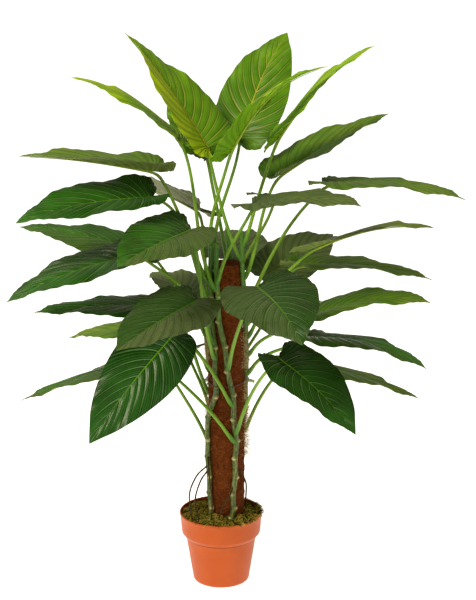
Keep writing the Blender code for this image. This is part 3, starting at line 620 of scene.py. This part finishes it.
def bladePoint(leaf, axis, x, y):
    # midrib point + across out cos(angle) + upper (sin(angle) out - curl out^2 / length): the
    # halves stand up most at the base, the lobes further still, and flatten towards the margin
    point, across, upper = bladeFrame(leaf, axis, x)
    length = leaf["length"] * cm
    fold = leaf["fold"] * (blade["foldAtBase"] - blade["foldLoss"] * np.maximum(x, 0))
    angle = np.radians(fold + blade["lobeRise"] * rising(blade["lobeFrom"] - x, blade["lobeSpan"]))
    out = np.abs(y) * length
    lift = np.sin(angle) * out - blade["curl"] * out * out / length
    return point + across * np.copysign(out * np.cos(angle), y)[..., None] + upper * lift[..., None]


def bladeRelief(row, t, side, vein, x, y, phase):
    # quilt |sin(pi veins vein)|^0.8 between the side veins - groove over the midrib + margin
    # (wave (sin + second sin) + scallop cos), each faded out where it has to end
    fromRib, fromBase, fromTip = blade["quiltFade"]
    inside = rising(t, fromRib) * (1 - t ** 5) * rising(1 - row, fromTip) * rising(row, fromBase)
    quilt = np.abs(np.sin(math.pi * blade["veins"] * vein)) ** blade["quiltPower"] * inside
    groove = np.exp(-(y / blade["ribWidth"]) ** 2) * rising(x, blade["ribStart"]) * (1 - row ** 6)
    second, shorter = blade["secondWave"]
    wave = np.sin(fullTurn * blade["waves"] * row ** blade["waveSkew"] + phase + side * blade["waveSides"])
    wave += second * np.sin(fullTurn * shorter * blade["waves"] * row + 2 * phase - side)
    fromBase, fromTip = blade["waveFade"]
    margin = t ** 3 * rising(1 - row, fromTip) * rising(row, fromBase)
    scallop = blade["scallop"] * np.cos(fullTurn * blade["veins"] * row)
    return blade["quilt"] * quilt - blade["groove"] * groove + margin * (blade["wave"] * wave + scallop)


def bladePart(leaf, axis, tone, phase, paintedLightShares):
    # both faces of the blade: middle surface + normal (relief +- half the thickness); the side
    # veins run at vein = row + uneven (sin + second sin of row), so no two gaps are quite alike
    rows, columns = np.linspace(0, 1, blade["rows"] + 1), np.linspace(-1, 1, blade["columns"] + 1)
    row, column = np.meshgrid(rows, columns, indexing="ij")
    t, side = np.abs(column), np.sign(column)
    x, y = bladeFlat(row, column)
    y = y * leaf["width"]
    step = blade["slopeStep"]
    forward = bladePoint(leaf, axis, x + step, y) - bladePoint(leaf, axis, x - step, y)
    sideways = bladePoint(leaf, axis, x, y + step) - bladePoint(leaf, axis, x, y - step)
    normal = unit(np.cross(forward, sideways))
    slow, quick = blade["unevenWaves"]
    sway = np.sin(slow * row + phase) + blade["secondUneven"] * np.sin(quick * row + 3 * phase + side)
    vein = row + blade["uneven"] * sway
    relief = bladeRelief(row, t, side, vein, x, y, phase)
    half = blade["thickness"] / 2 * np.clip(1 - t ** blade["rimPower"] + blade["rimLeast"], 0, 1)
    middle = bladePoint(leaf, axis, x, y)
    upper, under = (middle + normal * (relief + out)[..., None] for out in (half, -half))
    count = row.size
    grid = np.arange(count).reshape(row.shape)
    top = np.stack((grid[:-1, :-1], grid[1:, :-1], grid[1:, 1:], grid[:-1, 1:]), -1).reshape(-1, 4)
    ring = np.concatenate((grid[0, :-1], grid[:-1, -1], grid[-1, :0:-1], grid[:0:-1, 0]))
    after = np.roll(ring, -1)
    rim = np.stack((ring, after, after + count, ring + count), -1)
    # for the material: vein, share of the way out and the leaf's tone; flat x and y and the share of painted
    # light (sheen) on this half
    place = np.stack((vein, t, np.full_like(row, tone)), -1).reshape(-1, 3)
    tint = np.where(column > 0, *paintedLightShares) * rising(t, blade["paintedLightFade"])
    flat = np.stack((x, np.abs(y), tint), -1).reshape(-1, 3)
    return {"points": np.concatenate((upper.reshape(-1, 3), under.reshape(-1, 3))),
            "faces": [top, rim, top[:, ::-1] + count],
            "finish": np.repeat((0, 1), (len(top) + len(rim), len(top))),
            "place": np.vstack((place, place)), "flat": np.vstack((flat, flat))}


def petiolePart(leaf, axis):
    # a cubic curve from the stem to the blade that goes on as the ridge under the midrib; radius
    # = taper (1 + bulge of the sheath at the foot + knuckle below the blade)
    height = leaf["node"] * cm
    centre = stemCentre("stem_" + leaf["stem"], height)
    base = leafBase(leaf)
    outward = unit(centre - (pole["x"], 0.0, height))
    out = unit(outward + petiole["towardsLeaf"] * unit((base - centre) * (1, 1, 0)))
    heading, rise, arrive = (math.radians(leaf[k]) for k in ("heading", "rise", "arrive"))
    x = np.linspace(petiole["ridgeStart"], petiole["ridgeEnd"], petiole["ridgeSteps"])
    point, _, ridgeUp = bladeFrame(leaf, axis, x)
    baseUp = bladeFrame(leaf, axis, np.zeros(1))[2][0]
    start = centre + out * (stemRadius(height) + petiole["clear"])
    end = base - baseUp * petiole["endRadius"] * petiole["endDrop"]
    span = np.linalg.norm(end - start)
    leave = out * math.cos(rise) + np.array((0, 0, math.sin(rise)))
    onto = np.array((math.cos(heading) * math.cos(arrive), math.sin(heading) * math.cos(arrive),
                     math.sin(arrive)))
    t = np.linspace(0, 1, petiole["steps"])[:, None]
    curve = (start * (1 - t) ** 3 + 3 * (start + leave * span * petiole["leaveShare"]) * t * (1 - t) ** 2
             + 3 * (end - onto * span * petiole["arriveShare"]) * t * t * (1 - t) + end * t ** 3)
    thin = petiole["ridgeLoss"] * (x / petiole["ridgeEnd"]) ** petiole["ridgePower"]
    ridge = petiole["endRadius"] * (1 - thin)
    sunk = ridge + blade["groove"] * rising(x, blade["ribStart"])
    foot = centre + out * stemRadius(height) * petiole["footDepth"]
    path = np.vstack((foot, curve, point - ridgeUp * sunk[:, None]))
    for _ in range(petiole["smoothings"]):  # rounds off the bend where the ridge begins
        path[1:-1] = (path[:-2] + 2 * path[1:-1] + path[2:]) / 4
    share = t[:, 0]
    bulge = petiole["bulge"] * np.exp(-(share / petiole["bulgeSpan"]) ** 2)
    knuckle = np.exp(-((share - petiole["knucklePlace"]) / petiole["knuckleSpan"]) ** 2)
    stalk = petiole["radius"] + (petiole["endRadius"] - petiole["radius"]) * share
    stalk = stalk * (1 + bulge + petiole["knuckle"] * knuckle)
    radii = np.concatenate(([stalk[0] * petiole["footWidth"]], stalk, ridge))
    # the profile's upper side turns from the foot's to the blade's on the way
    footUp = np.array((0, 0, math.cos(rise))) - out * math.sin(rise)
    blend = np.concatenate(([0.0], share))[:, None]
    guide = np.vstack((footUp * (1 - blend) + ridgeUp[0] * blend, ridgeUp))
    part = tubesAlong(path[None], radii[None], petiole["sides"], guide[None])
    # for the material: 0 to 1 along the petiole, 1 to 2 along the ridge
    progress = np.concatenate(([0.0], share, 1 + x)).repeat(petiole["sides"])
    return {**part, "finish": 2, "place": progress[:, None] * (1, 0, 0)}


# colours of each kind of leaf: the upper face from base to tip, its veins (partly a painted highlight),
# midrib and the paler cast of painted light on a half, the underside with its veins, the petiole; how
# strongly veins and their painted highlight show, least and most roughness
foliageColumns = ("base", "middle", "tip", "vein", "rib", "tint", "under", "underVein", "stalk",
                  "veinAndHighlightShare", "smooth", "rough")
foliage = {
    "mature": ("#123605", "#184C07", "#2E760C", "#7CA85C", "#6A9C16", "#5E6C3C", "#7A8A4C", "#94A262",
               "#709C26", 0.5, 0.22, 0.34),
    "deep": ("#082002", "#0F3604", "#1C5208", "#6C9A58", "#5E9014", "#5A6840", "#5E6C36", "#788648",
             "#709C26", 0.5, 0.20, 0.32),
    # grey leaf colours: painted sheen, the grey of light glancing off the faces
    "sheenGrey": ("#405228", "#546A3C", "#687C42", "#728450", "#7C9440", "#5E6444", "#868C66", "#989E78",
              "#709C26", 0.4, 0.36, 0.48),
    "olive": ("#34601A", "#507C20", "#74982E", "#869E40", "#9CB438", "#6E7E44", "#788C46", "#92A25A",
              "#78A42A", 0.4, 0.32, 0.44),
    "young": ("#1E5003", "#447A04", "#6CA410", "#B0BC48", "#B8AE34", "#A8C408", "#5E9218", "#88AE38",
              "#74A428", 0.6, 0.30, 0.42),
    "lime": ("#4A900A", "#78AE14", "#ACCA20", "#A8C83A", "#A8BE3A", "#98B40A", "#6EA216", "#92B834",
             "#7CAC28", 0.4, 0.34, 0.46),
}


def bladeMaterial(kind, face):
    # polyester cloth pressed in a vein mould and coated with polyethylene: satin, with paler
    # veins that partly carry a painted highlight, painted shade in the grooves beside them, and a pale
    # midrib
    look, upper = dict(zip(foliageColumns, foliage[kind])), face == "upper"
    material, add, shader, where = newMaterial(f"PE foliage {kind} {face}", {
        "IOR": 1.48, "Specular IOR Level": 0.22 if upper else 0.1})
    vein, out, tone = meshValues(add, "place")
    x, y, tint = meshValues(add, "flat")
    # deep at the base, lighter towards the tip, with clouds and a tone of each leaf's own
    cloud = add("TexNoise", {"Vector": where, "Scale": 16.0, "Detail": 3.0})
    ground = add("Math", {"operation": "ADD", 0: cloud, 1: tone})
    ground = add("Math", {"operation": "MULTIPLY_ADD", 0: vein, 1: 0.62, 2: ground})
    ground = add("Math", {"operation": "MULTIPLY", 0: ground, 1: 0.75})
    colour = add("ValToRGB", {0: ground, "stops": (
        ((0.315, look["base"]), (0.60, look["middle"]), (0.915, look["tip"])) if upper else
        ((0.315, look["under"]), (0.675, look["under"]), (0.915, look["underVein"])))})
    # painted light: a paler cast on one half, in patches, as far as the leaf's share for that half goes; it
    # stands for the sheen of light glancing off the half, on young leaves for light shining through it
    patchy = add("TexNoise", {"Vector": where, "Scale": 34.0, "Detail": 4.0, "Roughness": 0.6})
    share = add("MapRange", {0: patchy, "From Min": 0.22, "From Max": 0.44, "To Max": tint})
    colour = add("Mix", {"data_type": "RGBA", 0: share, 6: colour,
                         7: look["tint"] if upper else look["under"]})
    # how far a point is from the nearest side vein: 0 on it, 0.5 half-way to the next
    count = add("Math", {"operation": "MULTIPLY", 0: vein, 1: blade["veins"]})
    gap = add("Math", {"operation": "PINGPONG", 0: count, 1: 0.5})
    # painted shade down in the grooves beside a vein, and a little painted light on the swell between two
    paintedGrooveShade = add("MapRange", {0: gap, "ranges": (0.05, 0.30, 0.60, 1.08),
                             "interpolation_type": "SMOOTHSTEP"})
    colour = add("Mix", {"data_type": "RGBA", "blend_type": "MULTIPLY", 0: 0.85, 6: colour, 7: paintedGrooveShade})
    # side veins about 2 mm wide with soft edges, fading towards the margin; their pale colour is the vein's
    # own and also a painted highlight along it
    line = add("MapRange", {0: gap, "ranges": (0.02, 0.11, 1.0, 0.0),
                            "interpolation_type": "SMOOTHSTEP"})
    fade = add("MapRange", {0: out, "ranges": (0.35, 1.0, look["veinAndHighlightShare"], 0.08)})
    veinAndHighlightShare = add("Math", {"operation": "MULTIPLY", 0: line, 1: fade})
    # finer veins run between them, four to a gap
    fine = add("Math", {"operation": "MULTIPLY", 0: count, 1: 4.0})
    fineGap = add("Math", {"operation": "PINGPONG", 0: fine, 1: 0.5})
    fineShare = add("MapRange", {0: fineGap, "ranges": (0.05, 0.25, 0.15, 0.0)})
    # the midrib: 3 mm wide at the base with soft edges, thinning and fading to the tip
    ribWidth = add("MapRange", {0: x, "ranges": (0.0, 1.0, 0.0068, 0.0015)})
    ribPlace = add("Math", {"operation": "DIVIDE", 0: y, 1: ribWidth})
    ribLine = add("MapRange", {0: ribPlace, "ranges": (0.45, 1.1, 1.0, 0.0),
                               "interpolation_type": "SMOOTHSTEP"})
    ribFade = add("MapRange", {0: x, "ranges": (0.45, 0.9, 0.9, 0.3)})
    ribShare = add("Math", {"operation": "MULTIPLY", 0: ribLine, 1: ribFade})
    # the pale side-vein colour is partly a painted highlight along each vein
    paler = look["vein"] if upper else look["underVein"]
    for share, code in ((veinAndHighlightShare, paler), (fineShare, paler), (ribShare, look["rib"])):
        colour = add("Mix", {"data_type": "RGBA", 0: share, 6: colour, 7: code})
    # the coating pools in the mould, so its gloss wanders a little
    low, high = (look["smooth"], look["rough"]) if upper else (0.55, 0.68)
    gloss = add("MapRange", {0: cloud, "ranges": (0.3, 0.7, low, high)})
    # the cloth's weave is 0.3 mm; drawn at about 1 mm so that it shows; the veins are sunk in it
    weave = add("TexNoise", {"Vector": where, "Scale": 900.0, "Detail": 2.0})
    sunk = add("Math", {"operation": "ADD", 0: fineShare, 1: veinAndHighlightShare})
    sunk = add("Math", {"operation": "MULTIPLY", 0: sunk, 1: -1.0})
    depth = add("Math", {"operation": "MULTIPLY_ADD", 0: weave, 1: 0.2, 2: sunk})
    bump = add("Bump", {"Height": depth, "Strength": 0.5, "Distance": 0.7 * mm})
    fillNode(shader, {"Base Color": colour, "Roughness": gloss, "Normal": bump})
    return material


def petioleMaterial(kind):
    # moulded polyethylene over wire: smooth, satin, faint streaks along it, darker at the foot;
    # along the ridge its colour goes over into the blade's
    look = dict(zip(foliageColumns, foliage[kind]))
    material, add, shader, where = newMaterial(f"PE petiole {kind}", {
        "Roughness": 0.4, "IOR": 1.5, "Specular IOR Level": 0.28})
    length = add("MapRange", {0: meshValues(add, "place")[0], "From Max": 2.0})
    hue = add("ValToRGB", {0: length, "stops": (
        (0.0, "#4A7A1E"), (0.07, look["stalk"]), (0.47, look["stalk"]), (0.55, look["rib"]),
        (1.0, look["under"]))})
    stretch = add("Mapping", {"Vector": where, "Scale": (1.0, 1.0, 0.15)})
    streaks = add("TexNoise", {"Vector": stretch, "Scale": 420.0, "Detail": 3.0})
    shade = add("ValToRGB", {0: streaks, "stops": ((0.3, 0.74), (0.7, 1.0))})
    fillNode(shader, {
        "Base Color": add("Mix", {"data_type": "RGBA", "blend_type": "MULTIPLY",
                                  0: 0.7, 6: hue, 7: shade}),
        "Normal": add("Bump", {"Height": streaks, "Strength": 0.3, "Distance": 0.4 * mm})})
    return material


def buildLeaves():
    # each leaf gets a tone of its own and a phase of its own for its margin and veins
    chance = np.random.default_rng(23)
    finishes = {kind: [bladeMaterial(kind, "upper"), bladeMaterial(kind, "under"), petioleMaterial(kind)]
                for kind in foliage}
    for values in leaves:
        leaf = dict(zip(leafColumns, values))
        name = leaf["name"]
        kind = next((k for k, names in leafKinds.items() if name in names), "mature")
        tone, phase = chance.uniform(-blade["tone"], blade["tone"]), chance.uniform(0, fullTurn)
        axis = bladeAxis(leaf)
        # the share of painted light (sheen) that each half of this leaf takes
        paintedLightShares = halfPaintedLight.get(name, (0.0, 0.0))
        parts = [bladePart(leaf, axis, tone, phase, paintedLightShares), petiolePart(leaf, axis)]
        buildPiece("foliage" + name, parts, finishes[kind], ["leaf_" + name],
                   blade["sharpAngle"])


buildLeaves()
print("leaves:", len(leaves))

pot = {
    "height": 0.151, "rimRadius": 0.0868, "baseRadius": 0.060, "wall": 1.6 * mm, "wallFoot": 9 * mm,
    "collarBottom": 0.108, "collarRadius": 0.0828, "stepBottom": 0.0965, "stepRadius": 0.0737, "sides": 128,
    # radius and height in mm, up the outside: foot, wall, step, collar and rolled rim
    "outside": ((5, 0), (50, 0), (55, 0), (56.6, 0.3), (58.4, 1.8), (59.5, 5), (60, 9), (64.11, 35.25),
                (68.22, 61.5), (73.426, 94.75), (73.9, 96.8), (77.3, 100.6), (81, 105.8), (82.5, 107.4),
                (82.8, 108.6), (83.7, 118), (84.6, 130), (85.3, 144.6), (85.6, 145.4), (86.5, 146),
                (86.8, 146.8), (86.8, 149.8), (86.45, 150.6), (85.7, 151), (84.7, 151), (84, 150.6)),
    # heights down the inner wall, then radius and height of the inner floor, all in mm
    "innerLevels": (149, 130, 108, 96.5, 50, 9), "innerFloor": ((54, 2.4), (50, 1.6), (5, 1.6)),
    # half the height of the band of painted shade below the collar, then the inset in wall thicknesses
    "creaseShadeHalf": 1.5 * mm, "inset": 1.25,
}
moss = {
    "bottom": 0.1283, "edgeTop": 0.139, "crown": 0.012, "lump": 3.2 * mm, "lumpSize": 18 * mm,
    # the gap to the pot, the innermost ring's share of the radius and the hole that the lid closes
    "gap": 0.8 * mm, "hub": 0.03, "hole": 3 * mm, "sides": 96, "rings": 40,
    "strands": 5600, "length": (7 * mm, 22 * mm), "radius": 0.62 * mm, "range": (0.6, 1.3),
    # how far the strands turn on their way, how high they arch and lie above the bed, in mm
    "turning": 1.1, "arch": (0.3, 3.4), "lift": 0.8, "sink": 0.4 * mm, "clear": 0.5 * mm,
    "taper": (0.6, 1.0, 0.9, 0.35), "clump": 11 * mm, "clumpChance": 0.35,
    "clumpSteps": (-0.25, 0.35, 0.95),
    # a few strands hang over the rim, most at the right: heading and its spread in degrees, then
    # four points of a strand out from the rim and above it
    "overRim": 110, "overTurn": (-25, 38), "overOut": np.array((-9, -3.5, 1.0, 4.0)) * mm,
    "overUp": np.array((-3, 1.4, 0.8, -2.5)) * mm,
}
roots = {
    "radius": 1.8 * mm, "tipRadius": 1.4 * mm, "sides": 8, "steps": 34, "inStem": 1 * mm, "tipDrop": 0.8,
    # stem and height of the start, then bends as offsets from the pole's axis to the right and
    # forward and a height, all in cm
    "routes": {
        "1": ("front_left", 26.0, ((-6.2, 4.2, 24.5), (-7.7, 4.4, 20.5), (-7.2, 4.6, 15.4))),
        "2": ("front_left", 25.0, ((-5.4, 4.6, 23.5), (-6.5, 4.9, 19.5), (-5.8, 5.1, 15.4))),
        "3": ("front_right", 26.0, ((3.2, 3.4, 24.6), (4.1, 1.2, 21.4), (3.9, -2.4, 15.4))),
        "4": ("front_left", 28.0, ((-3.6, 4.6, 25.0), (-3.0, 5.2, 19.5), (-3.2, 5.4, 15.5))),
        "5": ("front_right", 22.0, ((0.6, 5.3, 20.5), (-0.9, 5.5, 18.0), (-1.5, 5.6, 15.6))),
    },
}


def potInside(heights):
    # the outer radius, straight from step to step, less the inset in wall thicknesses
    levels = (pot["wallFoot"], pot["stepBottom"], pot["collarBottom"], pot["height"])
    radii = (pot["baseRadius"], pot["stepRadius"], pot["collarRadius"], pot["rimRadius"])
    return np.interp(heights, levels, radii) - pot["inset"] * pot["wall"]


def potMaterial():
    # injection-moulded polypropylene: terracotta orange right through, satin, slightly waxy
    material, add, shader, where = newMaterial("moulded polypropylene", {
        "IOR": 1.49, "Specular IOR Level": 0.26, "Subsurface Weight": 0.04,
        "Subsurface Radius": (0.9 * mm, 0.3 * mm, 0.1 * mm)})
    flow = add("TexNoise", {"Vector": where, "Scale": 18.0, "Detail": 4.0, "Distortion": 0.4})
    tint = add("ValToRGB", {0: flow, "stops": ((0.3, "#B24C0E"), (0.7, "#BC5416"))})
    scuff = add("TexNoise", {"Vector": where, "Scale": 90.0, "Detail": 5.0, "Roughness": 0.7})
    share = add("MapRange", {0: scuff, "ranges": (0.62, 0.8, 0.0, 0.25)})
    colour = add("Mix", {"data_type": "RGBA", 0: share, 6: tint, 7: "#CE6C38"})
    # painted shade where the wall steps in below the collar, 3 mm high
    height = add("SeparateXYZ", {0: where}).outputs[2]
    creaseShade = add("Math", {"operation": "COMPARE", 0: height, 2: pot["creaseShadeHalf"],
                          1: pot["stepBottom"] + pot["creaseShadeHalf"]})
    colour = add("Mix", {"data_type": "RGBA", 0: creaseShade, 6: colour, 7: "#7C3008"})
    gloss = add("MapRange", {0: scuff, "ranges": (0.0, 1.0, 0.36, 0.52)})
    # fine spark-erosion grain of the mould, 0.2 mm, drawn at 0.8 mm so that it shows
    grain = add("TexNoise", {"Vector": where, "Scale": 1200.0, "Detail": 2.0})
    bump = add("Bump", {"Height": grain, "Strength": 0.18, "Distance": 0.3 * mm})
    fillNode(shader, {"Base Color": colour, "Roughness": gloss, "Normal": bump})
    return material


def buildPot():
    # profile (radius, height) up the outside, round the rolled rim and down the inside
    levels = np.array(pot["innerLevels"]) * mm
    inner = np.stack((potInside(levels), levels), -1)
    profile = np.vstack((np.array(pot["outside"]) * mm, inner, np.array(pot["innerFloor"]) * mm))
    buildPiece("growerPot", [turned(*profile.T, pot["sides"])], [potMaterial()], ["pot"])


def mossHeight(x, y):
    # a low crown with lumps: edge + crown sqrt(1 - s^2) + lump noise
    share = rising(np.hypot(x, y), potInside(moss["edgeTop"]))
    where = np.stack((x, y, np.zeros_like(x)), -1)
    lumps = moss["lump"] * ripples(where, moss["lumpSize"], 31)
    return moss["edgeTop"] + moss["crown"] * np.sqrt(1 - share ** 2) + lumps


def mossMaterial(name, *colours):
    # dried and dyed moss: dead matt, olive to straw, in tufts of some 4 mm
    return mottledMaterial(name, {"Roughness": 0.95, "Specular IOR Level": 0.1},
                           {"Scale": 260.0, "Detail": 5.0, "Roughness": 0.7},
                           tuple(zip((0.32, 0.52, 0.72), colours)), {"Strength": 0.9, "Distance": 1.5 * mm})


def buildMoss():
    # a lumpy cushion, height(x, y) = moss height, closed below, under thousands of bent strands
    chance = np.random.default_rng(37)
    edge = potInside(moss["bottom"]) - moss["gap"]
    radii = edge * np.linspace(1, moss["hub"], moss["rings"])[:, None] * np.ones(moss["sides"])
    angle = around(moss["sides"])
    heights = mossHeight(radii * np.cos(angle), radii * np.sin(angle))
    closing = np.full((2, moss["sides"]), moss["bottom"])
    radii = np.vstack((np.full_like(radii[:1], moss["hole"]), np.full_like(radii[:1], edge), radii))
    parts = [turned(radii, np.vstack((closing, heights)), moss["sides"])]
    count, overRim = moss["strands"], moss["overRim"]
    along = np.linspace(0, 1, len(moss["taper"]))
    spread = edge * np.sqrt(chance.uniform(0.1, 1.0, (count, 1))) * 0.985
    turn = chance.uniform(0, fullTurn, (count, 1))
    way = chance.uniform(0, fullTurn, (count, 1)) + chance.normal(0, moss["turning"], (count, 1)) * along
    length = chance.uniform(*moss["length"], (count, 1)) * along
    x = spread * np.cos(turn) + length * np.cos(way)
    y = spread * np.sin(turn) + length * np.sin(way)
    shrink = np.minimum(1, (edge - moss["clear"]) / np.hypot(x, y))
    x, y = x * shrink, y * shrink
    lift = chance.uniform(*moss["arch"], (count, 1)) * mm * np.sin(math.pi * along)
    lift = lift + chance.exponential(moss["lift"], (count, 1)) * mm
    paths = np.stack((x, y, mossHeight(x, y) + lift - moss["sink"]), -1)
    turn = np.radians(chance.normal(*moss["overTurn"], (overRim, 1)))
    turn = turn + chance.normal(0, 0.1, (overRim, 1)) * along
    out = pot["rimRadius"] + moss["overOut"] * chance.uniform(0.6, 1.3, (overRim, 1))
    level = pot["height"] + moss["overUp"] * chance.uniform(0.5, 1.4, (overRim, 1))
    paths = np.concatenate((paths, polar(out, turn, level)))
    thickness = moss["radius"] * chance.uniform(*moss["range"], (len(paths), 1)) * moss["taper"]
    # dark and pale strands keep together in clumps: noise of the place + chance
    clump = ripples(paths[:, 0], moss["clump"], 41) + chance.normal(0, moss["clumpChance"], len(paths))
    kind = np.digitize(clump, moss["clumpSteps"]) + 1
    parts.append(strands(paths, thickness, (0.05, 0.08, 1.0), kind))
    buildPiece("mossCover", parts, [
        # the bed is darker than any strand: painted shade of the gaps between the strands, over the moss's
        # own dark brown
        mossMaterial("dried moss bed", "#100C02", "#2A2408", "#4C4412"),
        mossMaterial("dried moss dark", "#181604", "#2C2C0A", "#444414"),
        mossMaterial("dried moss", "#5E5E1A", "#7E7C26", "#9A9636"),
        mossMaterial("dried moss pale", "#9C9038", "#BAAC4C", "#D2C466"),
        mossMaterial("dried moss straw", "#A08038", "#BE9A4C", "#D6B668")], ["moss"])


def buildRoots():
    # a thin tube through the root's bends, tapering to its tip in the moss; dyed polyethylene is
    # dull and dark brown, a little mottled
    material = mottledMaterial(
        "dyed polyethylene root", {"Roughness": 0.7, "IOR": 1.5, "Specular IOR Level": 0.2},
        {"Scale": 380.0, "Detail": 4.0}, ((0.3, "#241808"), (0.55, "#3A2A10"), (0.75, "#56421E")),
        {"Strength": 0.5, "Distance": 0.4 * mm})
    for name, (stem, height, bends) in roots["routes"].items():
        centre = stemCentre("stem_" + stem, height * cm)
        ways = np.array([(pole["x"] + x * cm, -y * cm, z * cm) for x, y, z in bends])
        out = unit((ways[0] - centre) * (1, 1, 0))
        tip = ways[-1] - (0, 0, roots["tipDrop"] * cm)
        route = np.vstack((centre + out * (stems["radius"] - roots["inStem"]), ways, tip))
        path = throughPoints(route, np.linspace(0, 1, roots["steps"]))
        radii = np.linspace(roots["radius"], roots["tipRadius"], roots["steps"])
        part = tubesAlong(path[None], radii[None], roots["sides"], np.array((0.1, 1.0, 0.05)))
        buildPiece("airRoot" + name, [part], [material], ["aerial_root_" + name])


def dressKeptNodes():
    # the tie: iron wire in a red-brown paper coat, dull, worn in spots of some 3 mm
    nodes["tie_wire"].material_slots[0].material = mottledMaterial(
        "coated garden wire", {"Roughness": 0.55}, {"Scale": 300.0, "Detail": 3.0},
        ((0.35, "#3A1C10"), (0.7, "#6A3420")))
    # the filling: poured cement, grey, matt, with pits some 4 mm apart
    nodes["pot_fill"].material_slots[0].material = mottledMaterial(
        "poured cement", {"Roughness": 0.9}, {"Scale": 220.0, "Detail": 5.0},
        ((0.3, "#6E6A62"), (0.7, "#9A958B")), {"Strength": 0.6, "Distance": 1.0 * mm})


buildPot()
buildMoss()
buildRoots()
dressKeptNodes()
print("pot, moss, roots and tie")

meshes = [o.data for o in bpy.data.objects if o.type == "MESH" and not o.hide_render]
print("triangles in all:", sum(len(p.vertices) - 2 for mesh in meshes for p in mesh.polygons))
